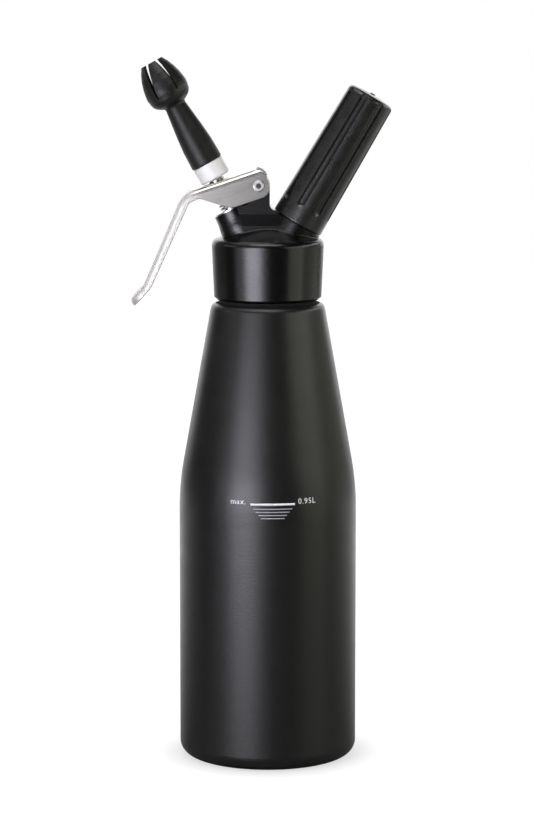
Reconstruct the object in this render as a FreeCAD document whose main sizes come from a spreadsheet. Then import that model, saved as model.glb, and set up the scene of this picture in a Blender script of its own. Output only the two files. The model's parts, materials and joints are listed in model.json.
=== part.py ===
import FreeCAD, Part
import math
import os
import re
import sys
import Sketcher
from FreeCAD import Placement, Rotation, Vector

# A whipped cream dispenser: a pressure bottle, a screwed-on cast head with a squeeze lever,
# a spray valve with a tulip nozzle on the left and a gas charger holder on the right.
# Millimetres, +Z up, origin on the bottle's axis in the plane it stands on.
# The valve and the charger each have an axis of their own in the XZ plane, which leans away
# from the bottle's axis and meets it axes_rise above the shoulder. Heights along them are named "level".
# A "rise" is measured from where the two axes meet.

SIZES = {
    # bottle
    "bottle_diameter": 96.0,
    "bottle_wall": 1.2,
    "base_thickness": 2.2,
    "base_round": 7.8,
    "cone_start": 149.3,
    "cone_blend": 150.0,
    "shoulder_step": 5.0,
    "shoulder_height": 248.0,
    "shoulder_round": 3.6,
    "shoulder_thickness": 2.0,
    "neck_step": 0.9,
    "neck_step_height": 1.7,
    "neck_thread_diameter": 50.6,
    "neck_length": 25.5,
    "neck_wall": 1.8,
    "mouth_round": 0.7,
    # head: threaded collar and dome
    "thread_clearance": 0.3,
    "collar_gap": 1.9,
    "collar_foot_step": 1.0,
    "collar_chamfer": 1.4,
    "collar_bottom_wall": 3.6,
    "collar_top_wall": 5.0,
    "collar_height": 31.8,
    "collar_round": 3.4,
    "dome_rise": 7.5,
    "dome_top_diameter": 20.0,
    "gasket_thickness": 2.8,
    "gasket_width": 4.3,
    "gasket_slack": 0.1,
    # axes of the valve and the charger
    "axes_rise": 16.4,
    "valve_lean": 29.0,
    "charger_lean": 30.5,
    # saddle of the head: the two bosses and what joins them
    "saddle_thickness": 24.4,
    "boss_foot_level": 12.0,
    "boss_face_step": 0.4,
    "saddle_round": 0.6,
    "valve_boss_waist": 28.4,
    "valve_boss_level": 39.4,
    "valve_boss_diameter": 21.4,
    "charger_boss_diameter": 28.2,
    "charger_boss_level": 30.8,
    "nipple_diameter": 22.4,
    "nipple_level": 46.0,
    "nipple_chamfer": 1.0,
    # seats under the head's roof
    "seat_level": 9.0,
    "seat_boss_diameter": 16.4,
    "seat_boss_top": 19.0,
    "check_seat_level": 11.5,
    "check_boss_diameter": 8.4,
    "check_boss_top": 20.0,
    # lug that carries the lever
    "lug_thickness": 22.8,
    "lug_width": 11.8,
    "lug_round": 5.6,
    "lug_foot": 3.0,
    "lug_root_rise": 35.9,
    "lug_root_round": 2.4,
    "lug_waist_low": 25.6,
    "lug_waist_high": 31.9,
    "pivot_x": -4.85,
    "pivot_rise": 47.1,
    # spray valve
    "bush_rim_overhang": 3.3,
    "bush_rim": 0.8,
    "bush_wall": 2.5,
    "bush_bottom_level": 24.2,
    "stem_diameter": 8.0,
    "stem_bore": 4.4,
    "stem_clearance": 0.06,
    "stem_top_level": 70.0,
    "stem_bottom_level": 3.6,
    "stem_port_diameter": 2.4,
    "ring_section": 2.0,
    "ring_slack": 0.1,
    "seal_width": 2.5,
    "seal_thickness": 2.4,
    "seal_gap": 0.3,
    "seal_nut_wall": 1.75,
    "seal_nut_height": 3.0,
    "cap_level": 53.0,
    "cap_lip": 0.4,
    "cap_thickness": 1.7,
    "cap_hub_wall": 0.7,
    "cap_hub_height": 4.0,
    "spring_wire": 1.2,
    "spring_slack": 0.2,
    "spring_turns": 5.0,
    # nozzle adaptor
    "adaptor_level": 57.6,
    "adaptor_diameter": 16.6,
    "adaptor_chamfer": 0.8,
    "adaptor_shoulder_level": 66.7,
    "spigot_diameter": 13.2,
    "spigot_level": 80.0,
    "adaptor_passage": 6.0,
    "adaptor_socket_top": 70.4,
    # tulip nozzle
    "nozzle_gap": 0.2,
    "nozzle_length": 61.2,
    "nozzle_base_diameter": 17.5,
    "nozzle_base_round": 0.9,
    "nozzle_waist": 36.5,
    "nozzle_throat": 8.4,
    "nozzle_tip_diameter": 12.6,
    "tulip_diameter": 23.6,
    "nozzle_socket_depth": 14.6,
    "nozzle_washer_thickness": 1.1,
    "nozzle_wall": 1.5,
    "petals": 6,
    "petal_slot_foot": 1.0,
    "petal_slot_mouth": 2.9,
    "petal_slot_depth": 18.6,
    # lever
    "lever_width": 26.4,
    "lever_sheet": 1.4,
    "lever_rest_tilt": 18.5,
    "plate_height": 8.8,
    "plate_bend": 3.2,
    "cheek_drop": 6.9,
    "cheek_end": 5.7,
    "cheek_end_round": 6.0,
    "plate_end": 1.4,
    "elbow_distance": 39.8,
    "elbow_round": 16.0,
    "handle_angle": 48.2,
    "handle_length": 54.0,
    "curl_angle": 21.5,
    "curl_length": 11.2,
    "curl_round": 14.0,
    "handle_depth": 5.1,
    "handle_end_depth": 4.3,
    "handle_corner": 8.0,
    "belly_distance": 17.5,
    "belly_rise_distance": 32.1,
    "belly_round": 9.0,
    "throat_round": 3.6,
    "stem_slot_slack": 0.7,
    "stem_slot_distance": 19.7,
    "stem_slot_travel": 1.5,
    "lever_edge_round": 0.45,
    # hinge pin
    "pin_diameter": 5.0,
    "pin_clearance": 0.06,
    "pin_head_diameter": 6.1,
    "pin_head_height": 1.1,
    "pin_head_gap": 0.1,
    "pin_head_round": 0.6,
    "pin_recess_width": 2.9,
    "pin_recess_depth": 0.7,
    "screw_diameter": 3.0,
    "screw_length": 9.0,
    # charger side
    "carrier_diameter": 9.0,
    "carrier_level": 30.0,
    "carrier_top": 38.6,
    "carrier_ring_section": 1.5,
    "carrier_groove_depth": 1.6,
    "carrier_groove_level": 33.0,
    "needle_diameter": 1.6,
    "needle_top": 43.2,
    "needle_point": 1.6,
    "needle_bore": 0.7,
    "charger_seat_bore": 10.4,
    "charger_washer_thickness": 1.6,
    "charger_washer_bore": 3.0,
    "check_valve_diameter": 6.0,
    "check_valve_thickness": 1.2,
    "check_valve_stem": 2.8,
    "check_valve_stem_length": 5.0,
    "gas_passage": 3.2,
    # gas charger
    "charger_level": 40.5,
    "charger_length": 65.5,
    "charger_diameter": 18.0,
    "charger_neck_diameter": 8.9,
    "charger_neck_length": 7.0,
    "charger_shoulder": 8.0,
    "charger_wall": 1.4,
    "charger_mouth": 2.4,
    "charger_round": 6.0,
    # charger holder
    "holder_gap": 0.3,
    "holder_length": 78.1,
    "holder_skirt": 1.5,
    "holder_top_wall": 3.7,
    "holder_rim_round": 0.8,
    "holder_top_round": 2.6,
    "holder_crown": 1.1,
    "charger_slack": 0.4,
    "holder_bore_length": 75.3,
    "sleeve_wall": 1.3,
    "sleeve_clearance": 0.3,
    "sleeve_length": 15.0,
    "flutes": 8,
    "flute_start": 6.9,
    "flute_width": 5.0,
    "flute_depth": 0.9,
    "flute_phase": -16.5,
}

MATH_WORDS = ("cos", "sin", "sqrt", "tan")
SHEET = "Sizes"

# Heights that follow from others: the bottle's mouth, where the leaning axes meet, and the hinge.
NECK_TOP = "(shoulder_height + neck_length)"
AXES = "(shoulder_height + axes_rise)"
PIVOT = f"({AXES} + pivot_rise)"
# Radii that follow from others: round the neck's thread, round the valve stem and round the charger.
NECK = "neck_thread_diameter / 2"
SHOULDER = f"({NECK} + shoulder_step)"
MOUTH = f"({NECK} - neck_wall)"
BUSH = "(stem_diameter / 2 + bush_wall)"
CAP_HUB = "(stem_diameter / 2 + cap_hub_wall)"
COIL = f"({CAP_HUB} + spring_slack + spring_wire / 2)"
CAP = f"({COIL} + spring_wire / 2 + cap_lip)"
STEM_SLOT = "(stem_diameter + 2 * stem_slot_slack)"
STEM_SLOT_NEAR = "-stem_slot_distance + stem_diameter / 2 + stem_slot_travel"
STEM_SLOT_FAR = "-stem_slot_distance - stem_diameter / 2 - stem_slot_travel"
HOLDER_BORE = "(charger_diameter / 2 + charger_slack)"
HOLDER_TOP = f"({HOLDER_BORE} + holder_top_wall)"
SLEEVE_BORE = "(nipple_diameter / 2 + sleeve_clearance)"
SLEEVE = f"({SLEEVE_BORE} + sleeve_wall)"

doc = FreeCAD.newDocument("cream_dispenser")
sheet = doc.addObject("Spreadsheet::Sheet", SHEET)
for row, (alias, value) in enumerate(SIZES.items(), start=1):
    sheet.set(f"A{row}", alias)
    sheet.set(f"B{row}", str(value))
    sheet.setAlias(f"B{row}", alias)
doc.recompute()

nodes = []


def formula(text):
    """The text as a document expression: every size in it is read from the sheet."""
    def from_sheet(word):
        return word.group() if word.group() in MATH_WORDS else f"{SHEET}.{word.group()}"
    return re.sub(r"[a-z][a-z_]*", from_sheet, text)


def number(name):
    """A size as a plain number, for the few places that take no expression."""
    return float(sheet.get(name))


def bind(feature, **properties):
    """Binds properties of a feature, such as Length="bottle_wall", to the sheet."""
    for name, text in properties.items():
        feature.setExpression(name, formula(text))


def new_body(label):
    """A body that becomes a node: its label names its file."""
    body = doc.addObject("PartDesign::Body", label)
    body.Label = label
    nodes.append(body)
    return body


def stand_on_axis(body, lean):
    """Puts a body's Z along the leaning valve or charger axis, from the point where it meets the bottle's."""
    body.Placement = Placement(Vector(0, 0, 1), Rotation(Vector(0, 1, 0), 1))
    body.setExpression("Placement.Base.z", formula(AXES))
    body.setExpression("Placement.Rotation.Angle", formula(lean))


def origin_plane(body, role):
    return next(item for item in body.Origin.OriginFeatures if item.Role == role)


def outline(body, name, corners, plane="XZ_Plane", lean=None, shift=None):
    """A closed sketch of straight lines, with both coordinates of every corner bound to the sheet.

    lean turns the sketch about the point where the leaning axes meet, and shift moves it
    off its plane along the plane's normal.
    """
    sketch = body.newObject("Sketcher::SketchObject", name)
    sketch.AttachmentSupport = [(origin_plane(body, plane), "")]
    sketch.MapMode = "FlatFace"
    if lean:
        sketch.AttachmentOffset = Placement(Vector(0, 1, 0), Rotation(Vector(0, 0, 1), 1))
        sketch.setExpression("AttachmentOffset.Base.y", formula(AXES))
        sketch.setExpression("AttachmentOffset.Rotation.Angle", formula(lean))
    if shift:
        sketch.setExpression("AttachmentOffset.Base.z", formula(shift))
    count = len(corners)
    spread = 50.0
    turns = [2 * math.pi * index / count for index in range(count)]
    rough = [Vector(spread * math.cos(turn), spread * math.sin(turn), 0) for turn in turns]
    sketch.addGeometry([Part.LineSegment(rough[i], rough[(i + 1) % count]) for i in range(count)])
    start, end = 1, 2
    sketch.addConstraint([Sketcher.Constraint("Coincident", i, end, (i + 1) % count, start)
                          for i in range(count)])
    for index, corner in enumerate(corners):
        across = sketch.addConstraint(Sketcher.Constraint("DistanceX", index, start, rough[index].x))
        up = sketch.addConstraint(Sketcher.Constraint("DistanceY", index, start, rough[index].y))
        sketch.setExpression(f"Constraints[{across}]", formula(corner[0]))
        sketch.setExpression(f"Constraints[{up}]", formula(corner[1]))
    sketch.Visibility = False
    doc.recompute()
    return sketch


def corner_point(sketch, index):
    """A solved corner of a sketch, in the body's own coordinates."""
    return sketch.Placement.multVec(sketch.Geometry[index].StartPoint)


def fillet(body, feature, edges, radius):
    """Rounds the edges of a feature with a radius from the sheet."""
    if not edges:
        raise RuntimeError(f"{body.Label}: no edge to round with {radius}")
    rounding = body.newObject("PartDesign::Fillet", f"{feature.Name}_{radius}")
    rounding.Base = (feature, edges)
    bind(rounding, Radius=radius)
    doc.recompute()
    if "Invalid" in rounding.State:
        raise RuntimeError(f"{body.Label}: {rounding.Name} can't be rounded")
    return rounding


def edges_where(feature, test):
    """The names of the edges of a feature's shape that pass a test."""
    return [f"Edge{number}" for number, edge in enumerate(feature.Shape.Edges, start=1) if test(edge)]


def round_corners(body, feature, sketch, corners, is_at_corner):
    """Rounds what a sketch's corners became. A corner's third entry names its radius."""
    radii = dict.fromkeys(corner[2] for corner in corners if len(corner) > 2)
    for radius in radii:
        points = [corner_point(sketch, index) for index, corner in enumerate(corners)
                  if len(corner) > 2 and corner[2] == radius]
        edges = edges_where(feature, lambda edge: any(is_at_corner(edge, point) for point in points))
        feature = fillet(body, feature, edges, radius)
    return feature


def turned(body, name, corners, lean=None, cut=False):
    """Revolves an outline of (radius, level) corners about the sketch's upright axis."""
    sketch = outline(body, f"{name}_outline", corners, lean=lean)
    kind = "PartDesign::Groove" if cut else "PartDesign::Revolution"
    feature = body.newObject(kind, name)
    feature.Profile = sketch
    feature.ReferenceAxis = (sketch, ["V_Axis"])
    feature.Angle = 360
    doc.recompute()
    axis_point = sketch.Placement.Base
    axis_line = sketch.Placement.Rotation.multVec(Vector(0, 1, 0))

    def is_ring(edge, point):
        centre = axis_point + axis_line * (point - axis_point).dot(axis_line)
        near = 1e-4
        return (edge.Curve.TypeId == "Part::GeomCircle"
                and abs(edge.Curve.Radius - (point - centre).Length) < near
                and (edge.Curve.Center - centre).Length < near)

    return round_corners(body, feature, sketch, corners, is_ring)


def is_upright_at(normal):
    """A test for the straight edges that a sketch's corners become when it is extruded along its normal."""
    def at_corner(edge, point):
        if edge.Curve.TypeId != "Part::GeomLine":
            return False
        near = 1e-4
        along = edge.Curve.Direction.cross(normal).Length < near
        return along and (point - edge.Curve.Location).cross(edge.Curve.Direction).Length < near
    return at_corner


def extruded(body, name, corners, width, plane="XZ_Plane", cut=False, shift=None, lean=None):
    """Pads or pockets an outline by half the width to each side of its plane."""
    sketch = outline(body, f"{name}_outline", corners, plane=plane, shift=shift, lean=lean)
    feature = body.newObject("PartDesign::Pocket" if cut else "PartDesign::Pad", name)
    feature.Profile = sketch
    feature.SideType = "Symmetric"
    bind(feature, Length=width)
    doc.recompute()
    normal = sketch.Placement.Rotation.multVec(Vector(0, 0, 1))
    return round_corners(body, feature, sketch, corners, is_upright_at(normal))


def drilled(body, name, diameter, length, at, axis, lean=None):
    """Cuts a round hole, centred on a point, along an axis of the body."""
    hole = body.newObject("PartDesign::SubtractiveCylinder", name)
    turn = Rotation(Vector(0, 0, 1), axis)
    hole.Placement = Placement(Vector(0, 0, 0), turn)
    bind(hole, Radius=f"({diameter}) / 2", Height=length)
    back = turn.multVec(Vector(0, 0, 1))
    for letter, place, share in zip("xyz", at, back):
        start = f"{place} - ({length}) * {share / 2:g}" if abs(share) > 1e-9 else place
        hole.setExpression(f"Placement.Base.{letter}", formula(start))
    doc.recompute()
    return hole


def repeated(body, name, features, axis, occurrences):
    """Repeats features evenly round an axis of the body's origin."""
    pattern = body.newObject("PartDesign::PolarPattern", name)
    pattern.Originals = features
    pattern.Axis = (origin_plane(body, axis), [""])
    pattern.Angle = 360
    bind(pattern, Occurrences=occurrences)
    body.Tip = pattern
    doc.recompute()
    return pattern


def hexagon(width):
    """The six corners of a hexagon of that width across its flats."""
    corner_radius = f"({width}) / sqrt(3)"
    return [(f"{corner_radius} * cos({turn})", f"{corner_radius} * sin({turn})")
            for turn in range(0, 360, 60)]


def ring(label, lean, bore, outside, low, high):
    """A flat ring on one of the leaning axes: a washer, seal or bush."""
    body = new_body(label)
    stand_on_axis(body, lean)
    turned(body, f"{label}_ring", [
        (f"({bore}) / 2", low),
        (f"({outside}) / 2", low),
        (f"({outside}) / 2", high),
        (f"({bore}) / 2", high),
    ])
    return body


# ---------------------------------------------------------------- bottle

bottle = new_body("bottle")
turned(bottle, "bottle_wall_revolve", [
    ("0", "0"),
    ("bottle_diameter / 2", "0", "base_round"),
    ("bottle_diameter / 2", "cone_start", "cone_blend"),
    (SHOULDER, "shoulder_height", "shoulder_round"),
    (f"{NECK} + neck_step", "shoulder_height"),
    (f"{NECK} + neck_step", "shoulder_height + neck_step_height"),
    (NECK, "shoulder_height + neck_step_height"),
    (NECK, NECK_TOP, "mouth_round"),
    (MOUTH, NECK_TOP, "mouth_round"),
    (MOUTH, "shoulder_height - shoulder_thickness"),
    (f"{SHOULDER} - 1.6 * bottle_wall", "shoulder_height - shoulder_thickness"),
    ("bottle_diameter / 2 - bottle_wall", "cone_start"),
    ("bottle_diameter / 2 - bottle_wall", "base_round + 0.4 * base_thickness"),
    ("bottle_diameter / 2 - base_round", "base_thickness"),
    ("0", "base_thickness"),
])

# ---------------------------------------------------------------- head casting

head = new_body("head")
COLLAR_BOTTOM = "shoulder_height + collar_gap"
COLLAR_TOP = "shoulder_height + collar_gap + collar_height"
ROOF = f"{NECK_TOP} + gasket_thickness + 2 * gasket_slack"
THREAD_RADIUS = f"{NECK} + thread_clearance"
FOOT_RADIUS = f"{NECK} + collar_foot_step + thread_clearance"
LUG_LEFT = "pivot_x - lug_width / 2"
LUG_RIGHT = "pivot_x + lug_width / 2"
LUG_TOP = f"{PIVOT} + lug_width / 2"


def on_lean(level, out, lean):
    """A point of the XZ plane: so far up an axis with that signed lean, and so far out to its right."""
    return (f"({level}) * sin({lean}) + ({out}) * cos({lean})",
            f"{AXES} + ({level}) * cos({lean}) - ({out}) * sin({lean})")


# The saddle is as thick as the valve's boss, so that its round side runs into the saddle's flat ones.
# Above its waist it narrows to the lug, which stands between the lever's cheeks.
LUG_FOOT = on_lean("valve_boss_level - boss_face_step", "lug_foot", "-valve_lean")
extruded(head, "lug", [
    on_lean("boss_foot_level", "0", "-valve_lean"),
    on_lean("valve_boss_waist", "0", "-valve_lean"),
    LUG_FOOT,
    (LUG_LEFT, f"{LUG_FOOT[1]} + lug_foot * sin(valve_lean)"),
    (LUG_LEFT, LUG_TOP, "lug_round"),
    (LUG_RIGHT, LUG_TOP, "lug_round"),
    (LUG_RIGHT, f"{AXES} + lug_root_rise", "lug_root_round"),
    on_lean("charger_boss_level - boss_face_step", "-0.46 * charger_boss_diameter", "charger_lean"),
    on_lean("charger_boss_level - boss_face_step", "0", "charger_lean"),
    on_lean("boss_foot_level", "0", "charger_lean"),
], "saddle_thickness")
for side, sign in (("front", "-"), ("back", "")):
    extruded(head, f"lug_{side}", [
        (f"{sign}saddle_thickness / 2", f"{AXES} + lug_waist_low"),
        (f"{sign}lug_thickness / 2", f"{AXES} + lug_waist_high"),
        (f"{sign}lug_thickness / 2", f"{LUG_TOP} + lug_width"),
        (f"{sign}saddle_thickness", f"{LUG_TOP} + lug_width"),
        (f"{sign}saddle_thickness", f"{AXES} + lug_waist_low"),
    ], "4 * saddle_thickness", plane="YZ_Plane", cut=True)
turned(head, "collar", [
    ("0", COLLAR_BOTTOM),
    (f"{NECK} + collar_bottom_wall - collar_chamfer", COLLAR_BOTTOM),
    (f"{NECK} + collar_bottom_wall", f"{COLLAR_BOTTOM} + collar_chamfer"),
    (f"{NECK} + collar_top_wall", COLLAR_TOP, "collar_round"),
    ("dome_top_diameter / 2", f"{COLLAR_TOP} + dome_rise"),
    ("0", f"{COLLAR_TOP} + dome_rise"),
])
# How the valve's boss narrows above its waist: shares of the way in to its face, and of the way up to it.
BOSS_FORM = [(0.90, 0.12), (0.72, 0.25), (0.47, 0.39), (0.26, 0.53), (0.12, 0.68), (0.03, 0.84)]
turned(head, "valve_boss", [
    ("0", "boss_foot_level"),
    ("saddle_thickness / 2", "boss_foot_level"),
    ("saddle_thickness / 2", "valve_boss_waist"),
    *[(f"valve_boss_diameter / 2 + {out} * (saddle_thickness - valve_boss_diameter) / 2",
       f"valve_boss_waist + {up} * (valve_boss_level - valve_boss_waist)") for out, up in BOSS_FORM],
    ("valve_boss_diameter / 2", "valve_boss_level"),
    ("0", "valve_boss_level"),
], lean="valve_lean")
saddle = turned(head, "charger_boss", [
    ("0", "boss_foot_level"),
    ("charger_boss_diameter / 2", "boss_foot_level"),
    ("charger_boss_diameter / 2", "charger_boss_level"),
    ("0", "charger_boss_level"),
], lean="-charger_lean")


def at_saddle_foot(edge):
    """An edge where the saddle meets the collar's top: just one of its faces is turned about the bottle."""
    faces = saddle.Shape.ancestorsOfType(edge, Part.Face)
    turned_faces = [face for face in faces if abs(getattr(face.Surface, "Axis", Vector()).z) > 0.9999]
    collar_top = number("shoulder_height") + number("collar_gap") + number("collar_height")
    dome_top = collar_top + number("dome_rise")
    return len(turned_faces) == 1 and all(vertex.Z < dome_top for vertex in edge.Vertexes)


fillet(head, saddle, edges_where(saddle, at_saddle_foot), "saddle_round")
turned(head, "neck_cavity", [
    ("0", f"{COLLAR_BOTTOM} - collar_gap"),
    (FOOT_RADIUS, f"{COLLAR_BOTTOM} - collar_gap"),
    (FOOT_RADIUS, f"{COLLAR_BOTTOM} + collar_chamfer"),
    (THREAD_RADIUS, f"{COLLAR_BOTTOM} + collar_chamfer"),
    (THREAD_RADIUS, ROOF),
    ("0", ROOF),
], cut=True)
turned(head, "valve_seat_boss", [
    ("0", "seat_level"),
    ("seat_boss_diameter / 2", "seat_level"),
    ("seat_boss_diameter / 2", "seat_boss_top"),
    ("0", "seat_boss_top"),
], lean="valve_lean")
turned(head, "check_seat_boss", [
    ("0", "check_seat_level"),
    ("check_boss_diameter / 2", "check_seat_level"),
    ("check_boss_diameter / 2", "check_boss_top"),
    ("0", "check_boss_top"),
], lean="-charger_lean")
turned(head, "nipple", [
    ("0", "charger_boss_level - nipple_chamfer"),
    ("nipple_diameter / 2", "charger_boss_level - nipple_chamfer"),
    ("nipple_diameter / 2", "nipple_level - nipple_chamfer"),
    ("nipple_diameter / 2 - nipple_chamfer", "nipple_level"),
    ("0", "nipple_level"),
], lean="-charger_lean")

# Bores: the valve's guide bush, ring and stem on one axis; the charger's needle and gas way on the other.
turned(head, "valve_bore", [
    ("0", "seat_level - 1"),
    ("stem_diameter / 2 + 3 * stem_clearance", "seat_level - 1"),
    ("stem_diameter / 2 + 3 * stem_clearance", "bush_bottom_level - ring_section - 2 * ring_slack"),
    (BUSH, "bush_bottom_level - ring_section - 2 * ring_slack"),
    (BUSH, "valve_boss_level + 1"),
    ("0", "valve_boss_level + 1"),
], lean="valve_lean", cut=True)
turned(head, "charger_bore", [
    ("0", "check_seat_level - 1"),
    ("gas_passage / 2", "check_seat_level - 1"),
    ("gas_passage / 2", "carrier_level"),
    ("carrier_diameter / 2", "carrier_level"),
    ("carrier_diameter / 2", "carrier_top"),
    ("charger_seat_bore / 2", "carrier_top"),
    ("charger_seat_bore / 2", "nipple_level + 1"),
    ("0", "nipple_level + 1"),
], lean="-charger_lean", cut=True)
drilled(head, "pivot_bore", "pin_diameter", "2 * lug_thickness", ("pivot_x", "0", PIVOT),
        Vector(0, 1, 0))

gasket = new_body("head_gasket")
turned(gasket, "gasket_ring", [
    (f"{NECK} - gasket_width", f"{NECK_TOP} + gasket_slack"),
    (NECK, f"{NECK_TOP} + gasket_slack"),
    (NECK, f"{ROOF} - gasket_slack"),
    (f"{NECK} - gasket_width", f"{ROOF} - gasket_slack"),
])

# ---------------------------------------------------------------- spray valve

VALVE = "-valve_lean"
bush = new_body("valve_bush")
stand_on_axis(bush, VALVE)
turned(bush, "bush_turning", [
    ("stem_diameter / 2 + stem_clearance", "bush_bottom_level"),
    (BUSH, "bush_bottom_level"),
    (BUSH, "valve_boss_level"),
    (f"{BUSH} + bush_rim_overhang", "valve_boss_level"),
    (f"{BUSH} + bush_rim_overhang", "valve_boss_level + bush_rim"),
    ("stem_diameter / 2 + stem_clearance", "valve_boss_level + bush_rim"),
])


def o_ring(label, lean, bore, section, middle):
    """A round-section ring that lies in a groove on one of the leaning axes."""
    shape = doc.addObject("Part::Torus", label)
    shape.Label = label
    bind(shape, Radius1=f"({bore}) / 2 + {section} / 2", Radius2=f"{section} / 2")
    turn = math.radians(lean)
    axes_meet = number("shoulder_height") + number("axes_rise")
    centre = Vector(middle * math.sin(turn), 0, axes_meet + middle * math.cos(turn))
    shape.Placement = Placement(centre, Rotation(Vector(0, 1, 0), lean))
    nodes.append(shape)
    doc.recompute()
    return shape


o_ring("stem_o_ring", -number("valve_lean"), "stem_diameter + 2 * ring_slack", "ring_section",
       number("bush_bottom_level") - number("ring_section") / 2 - number("ring_slack"))

stem = new_body("valve_stem")
stand_on_axis(stem, VALVE)
turned(stem, "stem_tube", [
    ("stem_bore / 2", "seat_level - seal_gap - seal_thickness"),
    ("stem_bore / 2", "stem_top_level"),
    ("stem_diameter / 2", "stem_top_level"),
    ("stem_diameter / 2", "stem_bottom_level"),
    ("0", "stem_bottom_level"),
    ("0", "seat_level - seal_gap - seal_thickness"),
])
port = drilled(stem, "stem_port", "stem_port_diameter", "stem_diameter / 2 + 1",
               ("stem_diameter / 4", "0", "seat_level + stem_port_diameter / 2 + seal_gap"), Vector(1, 0, 0))
repeated(stem, "stem_ports", [port], "Z_Axis", "4")

ring("stem_seal", VALVE, "stem_diameter", "stem_diameter + 2 * seal_width",
     "seat_level - seal_gap - seal_thickness", "seat_level - seal_gap")

nut = new_body("seal_nut")
stand_on_axis(nut, VALVE)
NUT_TOP = "seat_level - seal_gap - seal_thickness"
extruded(nut, "nut_hexagon", hexagon("stem_diameter + 2 * seal_nut_wall"), "seal_nut_height", plane="XY_Plane",
         shift=f"{NUT_TOP} - seal_nut_height / 2")
drilled(nut, "nut_bore", "stem_diameter", "2 * seal_nut_height", ("0", "0", NUT_TOP), Vector(0, 0, 1))

cap = new_body("spring_cap")
stand_on_axis(cap, VALVE)
turned(cap, "cap_turning", [
    ("stem_diameter / 2", "cap_level - cap_hub_height"),
    (CAP_HUB, "cap_level - cap_hub_height"),
    (CAP_HUB, "cap_level - cap_thickness"),
    (CAP, "cap_level - cap_thickness"),
    (CAP, "cap_level"),
    ("stem_diameter / 2", "cap_level"),
])

adaptor = new_body("nozzle_adaptor")
stand_on_axis(adaptor, VALVE)
turned(adaptor, "adaptor_turning", [
    ("stem_diameter / 2", "adaptor_level"),
    ("adaptor_diameter / 2 - adaptor_chamfer", "adaptor_level"),
    ("adaptor_diameter / 2", "adaptor_level + adaptor_chamfer"),
    ("adaptor_diameter / 2", "adaptor_shoulder_level"),
    ("spigot_diameter / 2", "adaptor_shoulder_level"),
    ("spigot_diameter / 2", "spigot_level - adaptor_chamfer"),
    ("spigot_diameter / 2 - adaptor_chamfer", "spigot_level"),
    ("adaptor_passage / 2", "spigot_level"),
    ("adaptor_passage / 2", "adaptor_socket_top"),
    ("stem_diameter / 2", "adaptor_socket_top"),
])

# Return spring: one helix of round wire between the bush's rim and the cap.
spring_path = doc.addObject("Part::Helix", "spring_path")
SPRING_FOOT = "valve_boss_level + bush_rim + spring_wire / 2"
SPRING_HEAD = "cap_level - cap_thickness - spring_wire / 2"
bind(spring_path, Height=f"{SPRING_HEAD} - ({SPRING_FOOT})", Radius=COIL,
     Pitch=f"({SPRING_HEAD} - ({SPRING_FOOT})) / spring_turns")
spring_section = doc.addObject("Part::Circle", "spring_section")
bind(spring_section, Radius="spring_wire / 2")
spring_section.Placement = Placement(Vector(1, 0, 0), Rotation(Vector(1, 0, 0), 90))
spring_section.setExpression("Placement.Base.x", formula(COIL))
spring_coil = doc.addObject("Part::Sweep", "valve_spring")
spring_coil.Label = "valve_spring"
spring_coil.Sections = [spring_section]
doc.recompute()
spring_coil.Spine = (spring_path, [f"Edge{index + 1}" for index in range(len(spring_path.Shape.Edges))])
spring_coil.Solid = True
spring_coil.Frenet = True
spring_coil.Placement = Placement(Vector(-1, 0, 1), Rotation(Vector(0, 1, 0), 1))
spring_coil.setExpression("Placement.Base.x", formula(f"-sin(valve_lean) * ({SPRING_FOOT})"))
spring_coil.setExpression("Placement.Base.z", formula(f"{AXES} + cos(valve_lean) * ({SPRING_FOOT})"))
spring_coil.setExpression("Placement.Rotation.Angle", formula(VALVE))
nodes.append(spring_coil)
doc.recompute()

# ---------------------------------------------------------------- tulip nozzle

ring("nozzle_washer", VALVE, "adaptor_passage", "spigot_diameter",
     "spigot_level + gasket_slack", "spigot_level + gasket_slack + nozzle_washer_thickness")

NOZZLE_BASE = "adaptor_shoulder_level + nozzle_gap"
NOZZLE_END = f"{NOZZLE_BASE} + nozzle_length"
# The nozzle's outside as shares of its length and of its largest radius: a long taper, then the tulip.
STALK_FORM = [(0.172, 0.723), (0.319, 0.650), (0.565, 0.490), (0.583, 0.513), (0.600, 0.669),
              (0.617, 0.801), (0.638, 0.898)]
TULIP_FORM = [(0.660, 0.949), (0.709, 0.996), (0.735, 1.000), (0.761, 0.987), (0.827, 0.924),
              (0.892, 0.820), (0.948, 0.695)]


def nozzle_corner(form, thinner="0"):
    """The corner at one of the nozzle form's points, on the outside or so much further in."""
    level, radius = form
    return (f"{radius} * tulip_diameter / 2 - {thinner}", f"{NOZZLE_BASE} + {level} * nozzle_length")


nozzle = new_body("tulip_nozzle")
stand_on_axis(nozzle, VALVE)
turned(nozzle, "nozzle_turning", [
    ("spigot_diameter / 2 + sleeve_clearance", NOZZLE_BASE),
    ("nozzle_base_diameter / 2", NOZZLE_BASE, "nozzle_base_round"),
    *[nozzle_corner(form) for form in STALK_FORM + TULIP_FORM],
    ("nozzle_tip_diameter / 2", NOZZLE_END),
    ("nozzle_tip_diameter / 2 - nozzle_wall", NOZZLE_END),
    *[nozzle_corner(form, "nozzle_wall") for form in reversed(TULIP_FORM)],
    ("nozzle_throat / 2", f"{NOZZLE_BASE} + nozzle_waist"),
    ("nozzle_throat / 2", f"{NOZZLE_BASE} + nozzle_socket_depth"),
    ("spigot_diameter / 2 + sleeve_clearance", f"{NOZZLE_BASE} + nozzle_socket_depth"),
])
SLOT_FOOT = f"{NOZZLE_END} - petal_slot_depth"
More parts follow.
